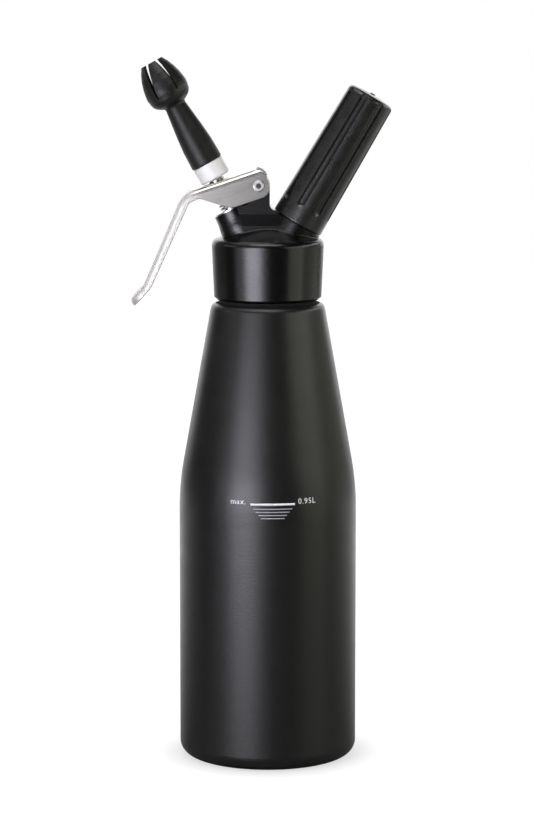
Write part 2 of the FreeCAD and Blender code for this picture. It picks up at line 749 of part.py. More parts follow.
slot = extruded(nozzle, "petal_slot", [
    ("-petal_slot_foot / 2", SLOT_FOOT),
    ("petal_slot_foot / 2", SLOT_FOOT),
    ("petal_slot_mouth / 2", f"{NOZZLE_END} + nozzle_gap"),
    ("-petal_slot_mouth / 2", f"{NOZZLE_END} + nozzle_gap"),
], "tulip_diameter", plane="YZ_Plane", cut=True, shift="tulip_diameter / 2")
repeated(nozzle, "petal_slots", [slot], "Z_Axis", "petals")

# ---------------------------------------------------------------- lever

# The lever is one bent sheet with a frame of its own: origin on the pivot, X along its top plate,
# Z out of the plate. It is the outer form less what the bends enclose, less what is trimmed at its ears.


def lever_body(label):
    """A body in the lever's own frame. It is one of the lever's forms, and no node by itself."""
    body = doc.addObject("PartDesign::Body", label)
    body.Placement = Placement(Vector(-1, 0, 1), Rotation(Vector(0, -1, 0), 1))
    body.setExpression("Placement.Base.x", formula("pivot_x"))
    body.setExpression("Placement.Base.z", formula(PIVOT))
    body.setExpression("Placement.Rotation.Angle", formula("lever_rest_tilt"))
    return body


def on_handle(distance, depth):
    """A point of the straight handle: so far down its back from the elbow, and so deep inside it."""
    return (f"-elbow_distance - ({distance}) * cos(handle_angle) + ({depth}) * sin(handle_angle)",
            f"plate_height - ({distance}) * sin(handle_angle) - ({depth}) * cos(handle_angle)")


def on_curl(distance, depth):
    """A point of the curled end: so far past the handle's straight back, and so deep inside it."""
    turn = "(handle_angle - curl_angle)"
    back_x, back_z = on_handle("handle_length", "0")
    return (f"{back_x} - ({distance}) * cos{turn} + ({depth}) * sin{turn}",
            f"{back_z} - ({distance}) * sin{turn} - ({depth}) * cos{turn}")


def bend_over(body, feature, end_corner, height, half_width, corner_radius, bend_radius):
    """Rounds the two corners of the handle's end, then the long edges of the back all the way round."""
    near = 1e-4

    def at_side(edge):
        first, last = edge.Vertexes[0], edge.Vertexes[-1]
        return abs(first.Y - last.Y) < near and abs(abs(first.Y) - half_width) < near

    def across_end(edge):
        ends = [Vector(vertex.X, 0, vertex.Z) for vertex in edge.Vertexes]
        return any((end - end_corner).Length < near for end in ends) and all(
            abs((end - end_corner).dot(handle_end)) < near for end in ends)

    end_turn = math.radians(number("handle_angle") - number("curl_angle"))
    handle_end = Vector(math.cos(end_turn), 0, math.sin(end_turn))
    feature = fillet(body, feature, edges_where(feature, lambda edge: at_side(edge) and across_end(edge)),
                     corner_radius)

    def on_plate(edge):
        return all(abs(vertex.Z - height) < near for vertex in edge.Vertexes)

    bends = edges_where(feature, lambda edge: at_side(edge) and on_plate(edge))
    return fillet(body, feature, bends, bend_radius)


blank = lever_body("lever_blank")
form = extruded(blank, "lever_form", [
    ("cheek_end + plate_bend", "-cheek_drop"),
    ("cheek_end + plate_bend", "plate_height"),
    ("-elbow_distance", "plate_height", "elbow_round"),
    (*on_handle("handle_length", "0"), "curl_round"),
    on_curl("curl_length", "0"),
    on_curl("curl_length", "handle_end_depth"),
    (*on_handle("handle_length - 1", "handle_end_depth"), "elbow_round"),
    (*on_handle("0.6 * handle_depth", "handle_depth"), "throat_round"),
    ("-belly_rise_distance", "plate_height - handle_depth", "throat_round"),
    ("-belly_distance", "-cheek_drop", "belly_round"),
], "lever_width")
bend_over(blank, form, corner_point(doc.getObject("lever_form_outline"), 4),
          number("plate_height"), number("lever_width") / 2, "handle_corner", "plate_bend")

core = lever_body("lever_core")
INNER_HEIGHT = "plate_height - lever_sheet"
channel = extruded(core, "lever_channel", [
    ("cheek_end + 2 * plate_bend", "-2 * cheek_drop"),
    ("cheek_end + 2 * plate_bend", INNER_HEIGHT),
    ("-elbow_distance + lever_sheet * tan(handle_angle / 2)", INNER_HEIGHT, "elbow_round - lever_sheet"),
    (*on_handle("handle_length", "lever_sheet"), "curl_round"),
    on_curl("curl_length - lever_sheet", "lever_sheet"),
    on_curl("curl_length - lever_sheet", "3 * handle_depth"),
    ("-belly_rise_distance", "-2 * cheek_drop"),
], "lever_width - 2 * lever_sheet")
bend_over(core, channel, corner_point(doc.getObject("lever_channel_outline"), 4),
          number("plate_height") - number("lever_sheet"), number("lever_width") / 2 - number("lever_sheet"),
          "handle_corner - lever_sheet", "plate_bend - lever_sheet")
extruded(core, "stem_slot", [
    (STEM_SLOT_NEAR, f"-{STEM_SLOT} / 2", f"0.499 * {STEM_SLOT}"),
    (STEM_SLOT_NEAR, f"{STEM_SLOT} / 2", f"0.499 * {STEM_SLOT}"),
    (STEM_SLOT_FAR, f"{STEM_SLOT} / 2", f"0.499 * {STEM_SLOT}"),
    (STEM_SLOT_FAR, f"-{STEM_SLOT} / 2", f"0.499 * {STEM_SLOT}"),
], "3 * plate_height", plane="XY_Plane")
extruded(core, "plate_end_gap", [
    ("plate_end", "0"),
    ("plate_end", "2 * plate_height"),
    ("cheek_end + 2 * plate_bend", "2 * plate_height"),
    ("cheek_end + 2 * plate_bend", "0"),
], "lever_width - 2 * lever_sheet")

trim = lever_body("lever_trim")
extruded(trim, "ear_trim", [
    ("cheek_end - 1.1 * cheek_end_round", "2 * plate_height"),
    ("cheek_end + 2 * cheek_end_round", "2 * plate_height"),
    ("cheek_end + 2 * cheek_end_round", "-2 * cheek_drop"),
    ("cheek_end - 1.1 * cheek_end_round", "-2 * cheek_drop"),
    ("cheek_end - 1.1 * cheek_end_round", "-cheek_drop"),
    ("cheek_end", "-cheek_drop", "cheek_end_round"),
    ("cheek_end", "plate_height", "cheek_end_round"),
    ("cheek_end - 1.1 * cheek_end_round", "plate_height"),
], "2 * lever_width")


def along_pivot(name, diameter, length):
    """A cylinder on the pivot's line, its middle on the lever's middle plane."""
    rod = doc.addObject("Part::Cylinder", name)
    bind(rod, Radius=f"({diameter}) / 2", Height=length)
    rod.Placement = Placement(Vector(-1, -1, 1), Rotation(Vector(1, 0, 0), -90))
    rod.setExpression("Placement.Base.x", formula("pivot_x"))
    rod.setExpression("Placement.Base.y", formula(f"-({length}) / 2"))
    rod.setExpression("Placement.Base.z", formula(PIVOT))
    return rod


def cut_from(name, base, tool):
    """A document-level cut, for forms that are made in different frames."""
    result = doc.addObject("Part::Cut", name)
    result.Base = base
    result.Tool = tool
    doc.recompute()
    return result


hollow = cut_from("lever_hollow", blank, core)
trimmed = cut_from("lever_trimmed", hollow, trim)


def at_cheek_outline(edge):
    """An edge round the outside of a cheek, where the sheet was sheared and not bent."""
    half_width = number("lever_width") / 2
    near = 1e-3
    faces = trimmed.Shape.ancestorsOfType(edge, Part.Face)
    cheeks = [face for face in faces if face.Surface.TypeId == "Part::GeomPlane"
              and abs(abs(face.CenterOfMass.y) - half_width) < near]
    middle = edge.valueAt((edge.FirstParameter + edge.LastParameter) / 2)
    across = [face for face in faces if abs(face.normalAt(*face.Surface.parameter(middle)).y) < near]
    return bool(cheeks) and bool(across)


rounded = doc.addObject("Part::Fillet", "lever_rounded")
rounded.Base = trimmed
edge_round = number("lever_edge_round")
rounded.Edges = [(index, edge_round, edge_round)
                 for index, edge in enumerate(trimmed.Shape.Edges, start=1) if at_cheek_outline(edge)]
doc.recompute()
lever = cut_from("lever", rounded, along_pivot("lever_pivot_hole", "pin_diameter + 2 * pin_clearance",
                                               "2 * lever_width"))
lever.Label = "lever"
nodes.append(lever)

# ---------------------------------------------------------------- hinge pin

# The pin is turned about the pivot's line: its levels count from the lever's middle plane,
# towards the front for the barrel's head and towards the back for the screw's.
HEAD_UNDER = "lever_width / 2 + pin_head_gap"


def on_pivot(label):
    """A node whose Z runs along the pivot towards the front."""
    body = new_body(label)
    body.Placement = Placement(Vector(-1, 0, 1), Rotation(Vector(1, 0, 0), 90))
    body.setExpression("Placement.Base.x", formula("pivot_x"))
    body.setExpression("Placement.Base.z", formula(PIVOT))
    return body


barrel = on_pivot("pivot_pin")
turned(barrel, "pin_turning", [
    ("0", f"{HEAD_UNDER} + pin_head_height"),
    ("pin_head_diameter / 2", f"{HEAD_UNDER} + pin_head_height", "pin_head_round"),
    ("pin_head_diameter / 2", HEAD_UNDER),
    ("pin_diameter / 2", HEAD_UNDER),
    ("pin_diameter / 2", f"-({HEAD_UNDER})"),
    ("screw_diameter / 2 + pin_clearance", f"-({HEAD_UNDER})"),
    ("screw_diameter / 2 + pin_clearance", f"-({HEAD_UNDER}) + screw_length + 1"),
    ("0", f"-({HEAD_UNDER}) + screw_length + 1"),
])
extruded(barrel, "pin_socket", hexagon("pin_recess_width"), "2 * pin_recess_depth", plane="XY_Plane",
         cut=True, shift=f"{HEAD_UNDER} + pin_head_height")

screw = on_pivot("pivot_screw")
turned(screw, "screw_turning", [
    ("0", f"-({HEAD_UNDER}) - pin_head_height"),
    ("pin_head_diameter / 2", f"-({HEAD_UNDER}) - pin_head_height", "pin_head_round"),
    ("pin_head_diameter / 2", f"-({HEAD_UNDER})"),
    ("screw_diameter / 2", f"-({HEAD_UNDER})"),
    ("screw_diameter / 2", f"-({HEAD_UNDER}) + screw_length"),
    ("0", f"-({HEAD_UNDER}) + screw_length"),
])
extruded(screw, "screw_socket", hexagon("pin_recess_width"), "2 * pin_recess_depth", plane="XY_Plane",
         cut=True, shift=f"-({HEAD_UNDER}) - pin_head_height")

# ---------------------------------------------------------------- charger: needle, seals and check valve

CHARGER = "charger_lean"
CARRIER_GROOVE_TOP = "carrier_groove_level + carrier_ring_section + 2 * ring_slack"
carrier = new_body("needle_carrier")
stand_on_axis(carrier, CHARGER)
turned(carrier, "carrier_turning", [
    ("needle_diameter / 2", "carrier_level"),
    ("carrier_diameter / 2", "carrier_level"),
    ("carrier_diameter / 2", "carrier_groove_level"),
    ("carrier_diameter / 2 - carrier_groove_depth", "carrier_groove_level"),
    ("carrier_diameter / 2 - carrier_groove_depth", CARRIER_GROOVE_TOP),
    ("carrier_diameter / 2", CARRIER_GROOVE_TOP),
    ("carrier_diameter / 2", "carrier_top"),
    ("needle_diameter / 2", "carrier_top"),
])
o_ring("carrier_o_ring", number("charger_lean"),
       "carrier_diameter - 2 * carrier_groove_depth + ring_slack", "carrier_ring_section",
       number("carrier_groove_level") + number("carrier_ring_section") / 2 + number("ring_slack"))

needle = new_body("piercing_needle")
stand_on_axis(needle, CHARGER)
turned(needle, "needle_turning", [
    ("needle_bore / 2", "carrier_level"),
    ("needle_diameter / 2", "carrier_level"),
    ("needle_diameter / 2", "needle_top - needle_point"),
    ("needle_bore / 2 + 0.05", "needle_top"),
    ("needle_bore / 2", "needle_top"),
])

ring("charger_washer", CHARGER, "charger_washer_bore", "charger_seat_bore",
     "carrier_top", "carrier_top + charger_washer_thickness")

check = new_body("check_valve")
stand_on_axis(check, CHARGER)
turned(check, "check_turning", [
    ("0", "check_seat_level - check_valve_thickness"),
    ("check_valve_diameter / 2", "check_seat_level - check_valve_thickness / 2"),
    ("check_valve_diameter / 2", "check_seat_level"),
    ("check_valve_stem / 2", "check_seat_level"),
    ("check_valve_stem / 2", "check_seat_level + check_valve_stem_length"),
    ("0", "check_seat_level + check_valve_stem_length"),
])

# ---------------------------------------------------------------- gas charger and its holder

charger = new_body("gas_charger")
stand_on_axis(charger, CHARGER)
turned(charger, "charger_shell", [
    ("charger_mouth / 2", "charger_level"),
    ("charger_neck_diameter / 2", "charger_level"),
    ("charger_neck_diameter / 2", "charger_level + charger_neck_length"),
    ("charger_diameter / 2", "charger_level + charger_neck_length + charger_shoulder"),
    ("charger_diameter / 2", "charger_level + charger_length", "charger_round"),
    ("0", "charger_level + charger_length"),
    ("0", "charger_level + charger_length - charger_wall"),
    ("charger_diameter / 2 - charger_wall", "charger_level + charger_length - charger_wall",
     "charger_round - charger_wall"),
    ("charger_diameter / 2 - charger_wall", "charger_level + charger_neck_length + charger_shoulder"),
    ("charger_neck_diameter / 2 - charger_wall", "charger_level + charger_neck_length"),
    ("charger_neck_diameter / 2 - charger_wall", "charger_level + charger_wall"),
    ("charger_mouth / 2", "charger_level + charger_wall"),
])

HOLDER_BASE = "charger_boss_level + holder_gap"
SLEEVE_BASE = f"{HOLDER_BASE} + holder_gap"
ring("holder_sleeve", CHARGER, f"2 * {SLEEVE_BORE}", f"2 * {SLEEVE}",
     SLEEVE_BASE, f"{SLEEVE_BASE} + sleeve_length")

grip = new_body("holder_grip")
stand_on_axis(grip, CHARGER)
turned(grip, "grip_turning", [
    (SLEEVE, HOLDER_BASE),
    (f"{SLEEVE} + holder_skirt", HOLDER_BASE, "holder_rim_round"),
    (HOLDER_TOP, f"{HOLDER_BASE} + holder_length", "holder_top_round"),
    *[(f"{share} * {HOLDER_TOP}", f"{HOLDER_BASE} + holder_length + {1 - share ** 2:.4f} * holder_crown")
      for share in (0.74, 0.5, 0.28)],
    ("0", f"{HOLDER_BASE} + holder_length + holder_crown"),
    ("0", f"{HOLDER_BASE} + holder_bore_length"),
    (HOLDER_BORE, f"{HOLDER_BASE} + holder_bore_length"),
    (HOLDER_BORE, f"{SLEEVE_BASE} + sleeve_length"),
    (SLEEVE, f"{SLEEVE_BASE} + sleeve_length"),
])

# Each flute is a round-nosed groove along the grip's taper: a cylinder and the sphere at its lower end.
flute_radius = (number("flute_width") ** 2 / 4 + number("flute_depth") ** 2) / (2 * number("flute_depth"))
sleeve_radius = number("nipple_diameter") / 2 + number("sleeve_clearance") + number("sleeve_wall")
base_radius = sleeve_radius + number("holder_skirt")
top_radius = number("charger_diameter") / 2 + number("charger_slack") + number("holder_top_wall")
taper = (base_radius - top_radius) / number("holder_length")
flute_level = number("charger_boss_level") + number("holder_gap") + number("flute_start") + flute_radius
flute_reach = base_radius - taper * number("flute_start") - number("flute_depth") + flute_radius
phase = math.radians(number("flute_phase"))
flute_nose = Vector(math.sin(phase) * flute_reach, -math.cos(phase) * flute_reach, flute_level)
flute_tilt = Rotation(Vector(math.cos(phase), math.sin(phase), 0), -math.degrees(math.atan(taper)))

sphere = grip.newObject("PartDesign::SubtractiveSphere", "flute_nose")
sphere.Radius = flute_radius
sphere.Placement = Placement(flute_nose, flute_tilt)
flute = grip.newObject("PartDesign::SubtractiveCylinder", "flute")
flute.Radius = flute_radius
bind(flute, Height="holder_length")
flute.Placement = Placement(flute_nose, flute_tilt)
doc.recompute()
repeated(grip, "flute_ring", [sphere, flute], "Z_Axis", "flutes")

# ---------------------------------------------------------------- checks and export

doc.recompute()
faults = [item.Label for item in doc.Objects if {"Invalid", "Error"} & set(item.State)]
faults += [item.Label for item in nodes if item.Shape.isNull() or not item.Shape.isValid()]
if faults:
    sys.exit("not built: " + ", ".join(faults))

os.makedirs("parts", exist_ok=True)
for item in nodes:
    item.Shape.exportStep(os.path.join("parts", f"{item.Label}.step"))
    print(f"{item.Label:18s} solids {len(item.Shape.Solids)} volume {item.Shape.Volume:10.1f}")
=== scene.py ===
import json
import math

import bmesh
import bpy
from bpy.props import FloatProperty, FloatVectorProperty, PointerProperty, StringProperty
from bpy.types import Operator, Panel, PropertyGroup
from mathutils import Matrix, Vector
from mathutils.bvhtree import BVHTree


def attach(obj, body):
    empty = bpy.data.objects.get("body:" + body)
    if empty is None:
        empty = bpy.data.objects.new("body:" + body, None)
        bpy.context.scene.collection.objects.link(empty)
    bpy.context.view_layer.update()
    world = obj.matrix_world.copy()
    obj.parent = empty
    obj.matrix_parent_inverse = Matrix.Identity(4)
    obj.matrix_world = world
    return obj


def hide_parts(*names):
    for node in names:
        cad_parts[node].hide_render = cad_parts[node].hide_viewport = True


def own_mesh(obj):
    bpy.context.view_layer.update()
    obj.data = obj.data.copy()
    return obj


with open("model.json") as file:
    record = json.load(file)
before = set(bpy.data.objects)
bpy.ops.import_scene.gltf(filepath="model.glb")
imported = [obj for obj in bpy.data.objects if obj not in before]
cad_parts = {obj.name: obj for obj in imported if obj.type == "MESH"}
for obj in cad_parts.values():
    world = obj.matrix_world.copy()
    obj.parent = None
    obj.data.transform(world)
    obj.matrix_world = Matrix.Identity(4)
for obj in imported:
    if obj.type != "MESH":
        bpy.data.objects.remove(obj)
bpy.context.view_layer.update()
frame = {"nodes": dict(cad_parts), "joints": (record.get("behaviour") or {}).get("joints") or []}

bl_info = {
    "name": "Cream dispenser finishes",
    "version": (1, 0, 0),
    "blender": (4, 5, 0),
    "location": "View3D > Sidebar > Dispenser",
    "description": "Finishes, threads, print and studio for a whipped cream dispenser",
    "category": "Object",
}

MM = 0.001
NODES = frame["nodes"]
JOINTS = {joint["name"]: joint for joint in frame["joints"]}


# ---------------------------------------------------------------- colours and nodes

def linear(hex_code):
    """An sRGB hex colour as linear red, green, blue and alpha."""
    channels = [int(hex_code[start:start + 2], 16) / 255 for start in (1, 3, 5)]
    return (*[c / 12.92 if c <= 0.04045 else ((c + 0.055) / 1.055) ** 2.4 for c in channels], 1.0)


def add_node(tree, kind, inputs=None, **settings):
    """Adds a node. inputs maps a socket's name or number to a value, or to the output that feeds it."""
    node = tree.nodes.new(kind)
    for name, value in settings.items():
        setattr(node, name, value)
    for socket, value in (inputs or {}).items():
        if isinstance(value, bpy.types.NodeSocket):
            tree.links.new(value, node.inputs[socket])
        else:
            node.inputs[socket].default_value = value
    return node


def new_material(name, colour, **settings):
    """A material with one principled shader. settings are its sockets' own values, underscores for spaces."""
    material = bpy.data.materials.new(name)
    material.use_nodes = True
    material.diffuse_color = colour
    tree = material.node_tree
    shader = tree.nodes["Principled BSDF"]
    shader.inputs["Base Color"].default_value = colour
    for socket, value in settings.items():
        shader.inputs[socket.replace("_", " ")].default_value = value
    return material, tree, shader


def in_millimetres(tree, stretch=(1, 1, 1), turn=0.0):
    """The piece's own coordinates in millimetres, turned about Y and then divided by a stretch."""
    place = add_node(tree, "ShaderNodeTexCoord").outputs["Object"]
    turned = add_node(tree, "ShaderNodeMapping", {"Vector": place, "Rotation": (0, turn, 0)})
    scale = tuple(1 / (MM * share) for share in stretch)
    return add_node(tree, "ShaderNodeMapping", {"Vector": turned.outputs[0], "Scale": scale}).outputs[0]


def mottled(tree, shader, grain, depth, patch, roughness, spread,
            colours=None, stretch=(1, 1, 1), turn=0.0):
    """A bump of that grain and depth with two colours that follow it, and a roughness that drifts over a
    patch, all three in millimetres. stretch draws both out along the axes, and turn tilts these about Y.
    Real grains are too fine to show from a step or two away, so each is drawn as coarse as it needs to be.
    Gives the bump node."""
    place = in_millimetres(tree, stretch, turn)
    fine = add_node(tree, "ShaderNodeTexNoise", {"Vector": place, "Scale": 1 / grain, "Detail": 3.0})
    bump = add_node(tree, "ShaderNodeBump", {
        "Height": fine.outputs[0], "Distance": depth * MM, "Strength": 1.0})
    tree.links.new(bump.outputs[0], shader.inputs["Normal"])
    drift = add_node(tree, "ShaderNodeTexNoise", {"Vector": place, "Scale": 1 / patch, "Detail": 2.0})
    rough = add_node(tree, "ShaderNodeMapRange", {
        "Value": drift.outputs[0], "From Min": 0.3, "From Max": 0.7,
        "To Min": roughness - spread, "To Max": roughness + spread})
    tree.links.new(rough.outputs[0], shader.inputs["Roughness"])
    if colours:
        tint = add_node(tree, "ShaderNodeMix", {
            "Factor": fine.outputs[0], "A": colours[0], "B": colours[1]}, data_type="RGBA")
        tree.links.new(tint.outputs["Result"], shader.inputs["Base Color"])
    return bump


def blended(tree, shader, socket, mask, value):
    """Moves one socket of a shader to a value where the mask is 1."""
    target = shader.inputs[socket]
    kind, data_type = ("Color", "RGBA") if socket == "Base Color" else ("Float", "FLOAT")
    mix = add_node(tree, "ShaderNodeMix", {"Factor": mask}, data_type=data_type)
    first, second = (next(item for item in mix.inputs if item.identifier == f"{side}_{kind}")
                     for side in "AB")
    if target.links:
        tree.links.new(target.links[0].from_socket, first)
    else:
        first.default_value = target.default_value
    second.default_value = value
    tree.links.new(next(item for item in mix.outputs if item.identifier == f"Result_{kind}"), target)


def shade_where(tree, shader, mask, colour, roughness):
    """Another colour and roughness where the mask is 1."""
    blended(tree, shader, "Base Color", mask, colour)
    blended(tree, shader, "Roughness", mask, roughness)


def bare_where(tree, shader, mask, metal, roughness, metallic=1.0):
    """Turns the surface to another metal finish where the mask is 1. A metallic below 1 makes it frosted."""
    shade_where(tree, shader, mask, metal, roughness)
    blended(tree, shader, "Metallic", mask, metallic)


def mask_where(tree, *tests, mask=None):
    """A mask that is 1 where every test holds, and where an earlier mask is 1 too. A test is a value,
    GREATER_THAN or LESS_THAN, and a limit."""
    for value, operation, limit in tests:
        passed = add_node(tree, "ShaderNodeMath", {0: value, 1: limit}, operation=operation).outputs[0]
        if mask is None:
            mask = passed
        else:
            mask = add_node(tree, "ShaderNodeMath", {0: mask, 1: passed}, operation="MULTIPLY").outputs[0]
    return mask


def round_axis(tree, origin, axis):
    """How far up an axis a point of the piece is, and how far from that axis, in metres."""
    place = add_node(tree, "ShaderNodeTexCoord").outputs["Object"]
    away = add_node(tree, "ShaderNodeVectorMath", {0: place, 1: origin}, operation="SUBTRACT").outputs[0]
    level = add_node(tree, "ShaderNodeVectorMath", {0: away, 1: axis}, operation="DOT_PRODUCT")
    beside = add_node(tree, "ShaderNodeVectorMath", {0: away, 1: axis}, operation="CROSS_PRODUCT").outputs[0]
    reach = add_node(tree, "ShaderNodeVectorMath", {0: beside}, operation="LENGTH")
    return level.outputs["Value"], reach.outputs["Value"]


# ---------------------------------------------------------------- finishes

def powder_coated_steel(colours, shoulder_height, neck_height):
    """Black polyester powder baked onto a drawn steel bottle: dark and fine-grained, with broad soft
    highlights. Its real grain is about 0.3 mm. The step above the shoulder lies in shade under the collar and
    is painted near-black and matt, as painted shade. The neck is masked off and stays bare."""
    black = linear(colours.bottle)
    material, tree, shader = new_material("powder_coated_steel", black, IOR=1.5)
    mottled(tree, shader, grain=0.9, depth=0.044, patch=9.0, roughness=0.34, spread=0.02,
            colours=(black, linear(colours.bottle_grain)), stretch=(2.6, 2.6, 1))
    place = add_node(tree, "ShaderNodeTexCoord").outputs["Object"]
    height = add_node(tree, "ShaderNodeSeparateXYZ", {0: place}).outputs["Z"]
    # Painted shade: the step above the shoulder, in shade under the collar, is coloured near-black and matt.
    gap_shade_mask = mask_where(tree, (height, "GREATER_THAN", shoulder_height))
    shade_where(tree, shader, gap_shade_mask, linear(colours.gap_shade), 0.85)
    neck = mask_where(tree, (height, "GREATER_THAN", neck_height))
    bare_where(tree, shader, neck, linear(colours.steel), 0.3)
    return material


def lacquered_casting(colours, nipple_foot, nipple_axis, nipple_radius):
    """Black stoving lacquer on a die-cast aluminium head: smoother than the bottle, so its highlights have
    edges. The charger's nipple is machined after coating and shows the aluminium."""
    black = linear(colours.lacquer)
    material, tree, shader = new_material("lacquered_cast_aluminium", black, IOR=1.5)
    mottled(tree, shader, grain=0.9, depth=0.07, patch=6.0, roughness=0.24, spread=0.015,
            colours=(black, linear(colours.lacquer_grain)), stretch=(4, 4, 1))
    seat_margin = 0.1 * MM
    level, reach = round_axis(tree, nipple_foot, nipple_axis)
    nipple = mask_where(tree, (level, "GREATER_THAN", seat_margin), (reach, "LESS_THAN", nipple_radius))
    bare_where(tree, shader, nipple, linear(colours.aluminium), 0.34)
    return material


def satin_sheet_steel(colours, elbow, tilt):
    """Stainless sheet, belt-ground along its length: the cheeks are a satin grey. Beyond the elbow the handle
    is rougher, and painted paler and half matt as a painted highlight for the light it catches. The inner
    faces of the ears lie in shade behind the near ear and are painted pale and dull, as painted light. Places
    are measured from the bottle's axis."""
    elbow_blend = 12 * MM
    cheek_inside, cheek_outside = 11.5 * MM, 12.4 * MM
    ears = -8 * MM
    steel = linear(colours.steel)
    material, tree, shader = new_material("satin_stainless_sheet", steel, Metallic=1.0)
    bump = mottled(tree, shader, grain=0.5, depth=0.01, patch=7.0, roughness=0.21, spread=0.03,
                   colours=(steel, linear(colours.steel_grain)), stretch=(14, 1, 1), turn=tilt)
    place = add_node(tree, "ShaderNodeTexCoord").outputs["Object"]
    across = add_node(tree, "ShaderNodeSeparateXYZ", {0: place}).outputs["X"]
    # Painted highlight: beyond the elbow the handle is coloured paler and half matt for the light it catches.
    handle_painted_light = add_node(tree, "ShaderNodeMapRange", {
        "Value": across, "From Min": elbow, "From Max": elbow - elbow_blend},
        interpolation_type="SMOOTHSTEP").outputs[0]
    side = add_node(tree, "ShaderNodeSeparateXYZ", {0: place}).outputs["Y"]
    depth = add_node(tree, "ShaderNodeMath", {0: side}, operation="ABSOLUTE").outputs[0]
    # Painted light: the ears' inner faces, shaded by the near ear, are coloured pale and dull.
    ears_painted_light = mask_where(tree, (depth, "GREATER_THAN", cheek_inside), (depth, "LESS_THAN", cheek_outside),
                        (across, "GREATER_THAN", ears))
    bare_where(tree, shader, ears_painted_light, linear(colours.bright_steel), 0.5, metallic=0.1)
    bare_where(tree, shader, handle_painted_light, linear(colours.handle_painted_highlight), 0.5, metallic=0.6)
    ground = add_node(tree, "ShaderNodeMath", {0: 1.0, 1: handle_painted_light}, operation="SUBTRACT").outputs[0]
    tree.links.new(ground, bump.inputs["Strength"])
    return material


def polished_steel(colours, name, roughness):
    """Turned and polished stainless steel: near-white, the lathe's marks polished down to a faint grain."""
    steel = linear(colours.bright_steel)
    material, tree, shader = new_material(name, steel, Metallic=1.0)
    mottled(tree, shader, grain=0.25, depth=0.0015, patch=4.0, roughness=roughness, spread=0.04,
            colours=(steel, linear(colours.steel)))
    return material


def pin_steel(colours, pivot):
    """Bright tumbled steel for the pin's heads. The tool's recess is painted darker, as painted shade."""
    recess_top, recess_radius = 14.25 * MM, 1.4 * MM
    material = polished_steel(colours, "tumbled_pin_steel", roughness=0.36)
    tree = material.node_tree
    shader = tree.nodes["Principled BSDF"]
    level, reach = round_axis(tree, pivot, (0, 1, 0))
    depth = add_node(tree, "ShaderNodeMath", {0: level}, operation="ABSOLUTE").outputs[0]
    # Painted shade: the tool's recess is coloured darker than the heads.
    recess_painted_shade = mask_where(tree, (depth, "LESS_THAN", recess_top), (reach, "LESS_THAN", recess_radius))
    shade_where(tree, shader, recess_painted_shade, linear(colours.recess_painted_shade), 0.4)
    return material


def blasted_steel(colours):
    """Stainless steel blasted with fine glass beads: almost white, and it scatters light like paper."""
    steel = linear(colours.bright_steel)
    material, tree, shader = new_material("bead_blasted_steel", steel, Metallic=0.4)
    mottled(tree, shader, grain=0.3, depth=0.003, patch=4.0, roughness=0.68, spread=0.04)
    return material


def moulded_plastic(colours, name, index, roughness, grain, depth):
    """Black polypropylene from a lightly etched mould: satin, a shade warmer than the coating."""
    black = linear(colours.plastic)
    material, tree, shader = new_material(name, black, IOR=index)
    mottled(tree, shader, grain=grain, depth=depth, patch=5.0, roughness=roughness, spread=0.04,
            colours=(black, linear(colours.plastic_grain)))
    return material


def fluted_plastic(colours, origin, axis):
    """The holder's black polypropylene. The flutes are a little smoother, and painted darker as painted
    shade. A flute is found by how far a point lies under the holder's tapering outside."""
    low, low_radius = 30 * MM, 14.30 * MM
    high, high_radius = 100 * MM, 13.28 * MM
    flute_end = 106 * MM
    shallow, deep = 0.15 * MM, 0.55 * MM
    material = moulded_plastic(colours, "moulded_holder_plastic", index=1.7, roughness=0.3,
                               grain=0.7, depth=0.06)
    tree = material.node_tree
    shader = tree.nodes["Principled BSDF"]
    level, reach = round_axis(tree, origin, axis)
    outside = add_node(tree, "ShaderNodeMapRange", {
        "Value": level, "From Min": low, "From Max": high,
        "To Min": low_radius, "To Max": high_radius}).outputs[0]
    sunk = add_node(tree, "ShaderNodeMath", {0: outside, 1: reach}, operation="SUBTRACT").outputs[0]
    groove = add_node(tree, "ShaderNodeMapRange", {
        "Value": sunk, "From Min": shallow, "From Max": deep}, interpolation_type="SMOOTHSTEP").outputs[0]
    # Painted shade: the flutes are coloured darker, and made a little smoother.
    flute_shade_mask = mask_where(tree, (level, "LESS_THAN", flute_end), mask=groove)
    shade_where(tree, shader, flute_shade_mask, linear(colours.flute_shade), 0.24)
    return material


def seal_rubber(colours, name, hex_code):
    """Moulded food-grade rubber or silicone: matte with a slight sheen."""
    material, tree, shader = new_material(name, linear(hex_code), IOR=1.45)
    mottled(tree, shader, grain=0.3, depth=0.006, patch=3.0, roughness=0.55, spread=0.05)
    return material


def plated_steel(colours):
    """Zinc plating over drawn steel: pale grey with a faint cloudy spangle."""
    zinc = linear(colours.zinc)
    material, tree, shader = new_material("zinc_plated_steel", zinc, Metallic=1.0)
    mottled(tree, shader, grain=0.8, depth=0.004, patch=3.0, roughness=0.33, spread=0.08,
            colours=(zinc, linear(colours.steel)))
    return material


def screen_print(name, hex_code):
    """Epoxy screen ink: flat and opaque, with the slightly uneven gloss of a thin coat."""
    ink = linear(hex_code)
    material, tree, shader = new_material(name, ink, IOR=1.5)
    mottled(tree, shader, grain=0.35, depth=0.004, patch=2.0, roughness=0.5, spread=0.06)
    return material


# ---------------------------------------------------------------- pieces

def finish(material, *names):
    """Gives CAD nodes a material."""
    for name in names:
        for slot in NODES[name].material_slots:
            slot.material = material


def new_piece(name, mesh, material, body, place=None):
    """A visible piece that rides on a body and takes the given finish. place puts its mesh on a leaning
    axis."""
    if place:
        mesh.transform(place)
    mesh.materials.clear()
    mesh.materials.append(material)
    piece = bpy.data.objects.new(name, mesh)
    bpy.context.scene.collection.objects.link(piece)
    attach(piece, body)
    return piece


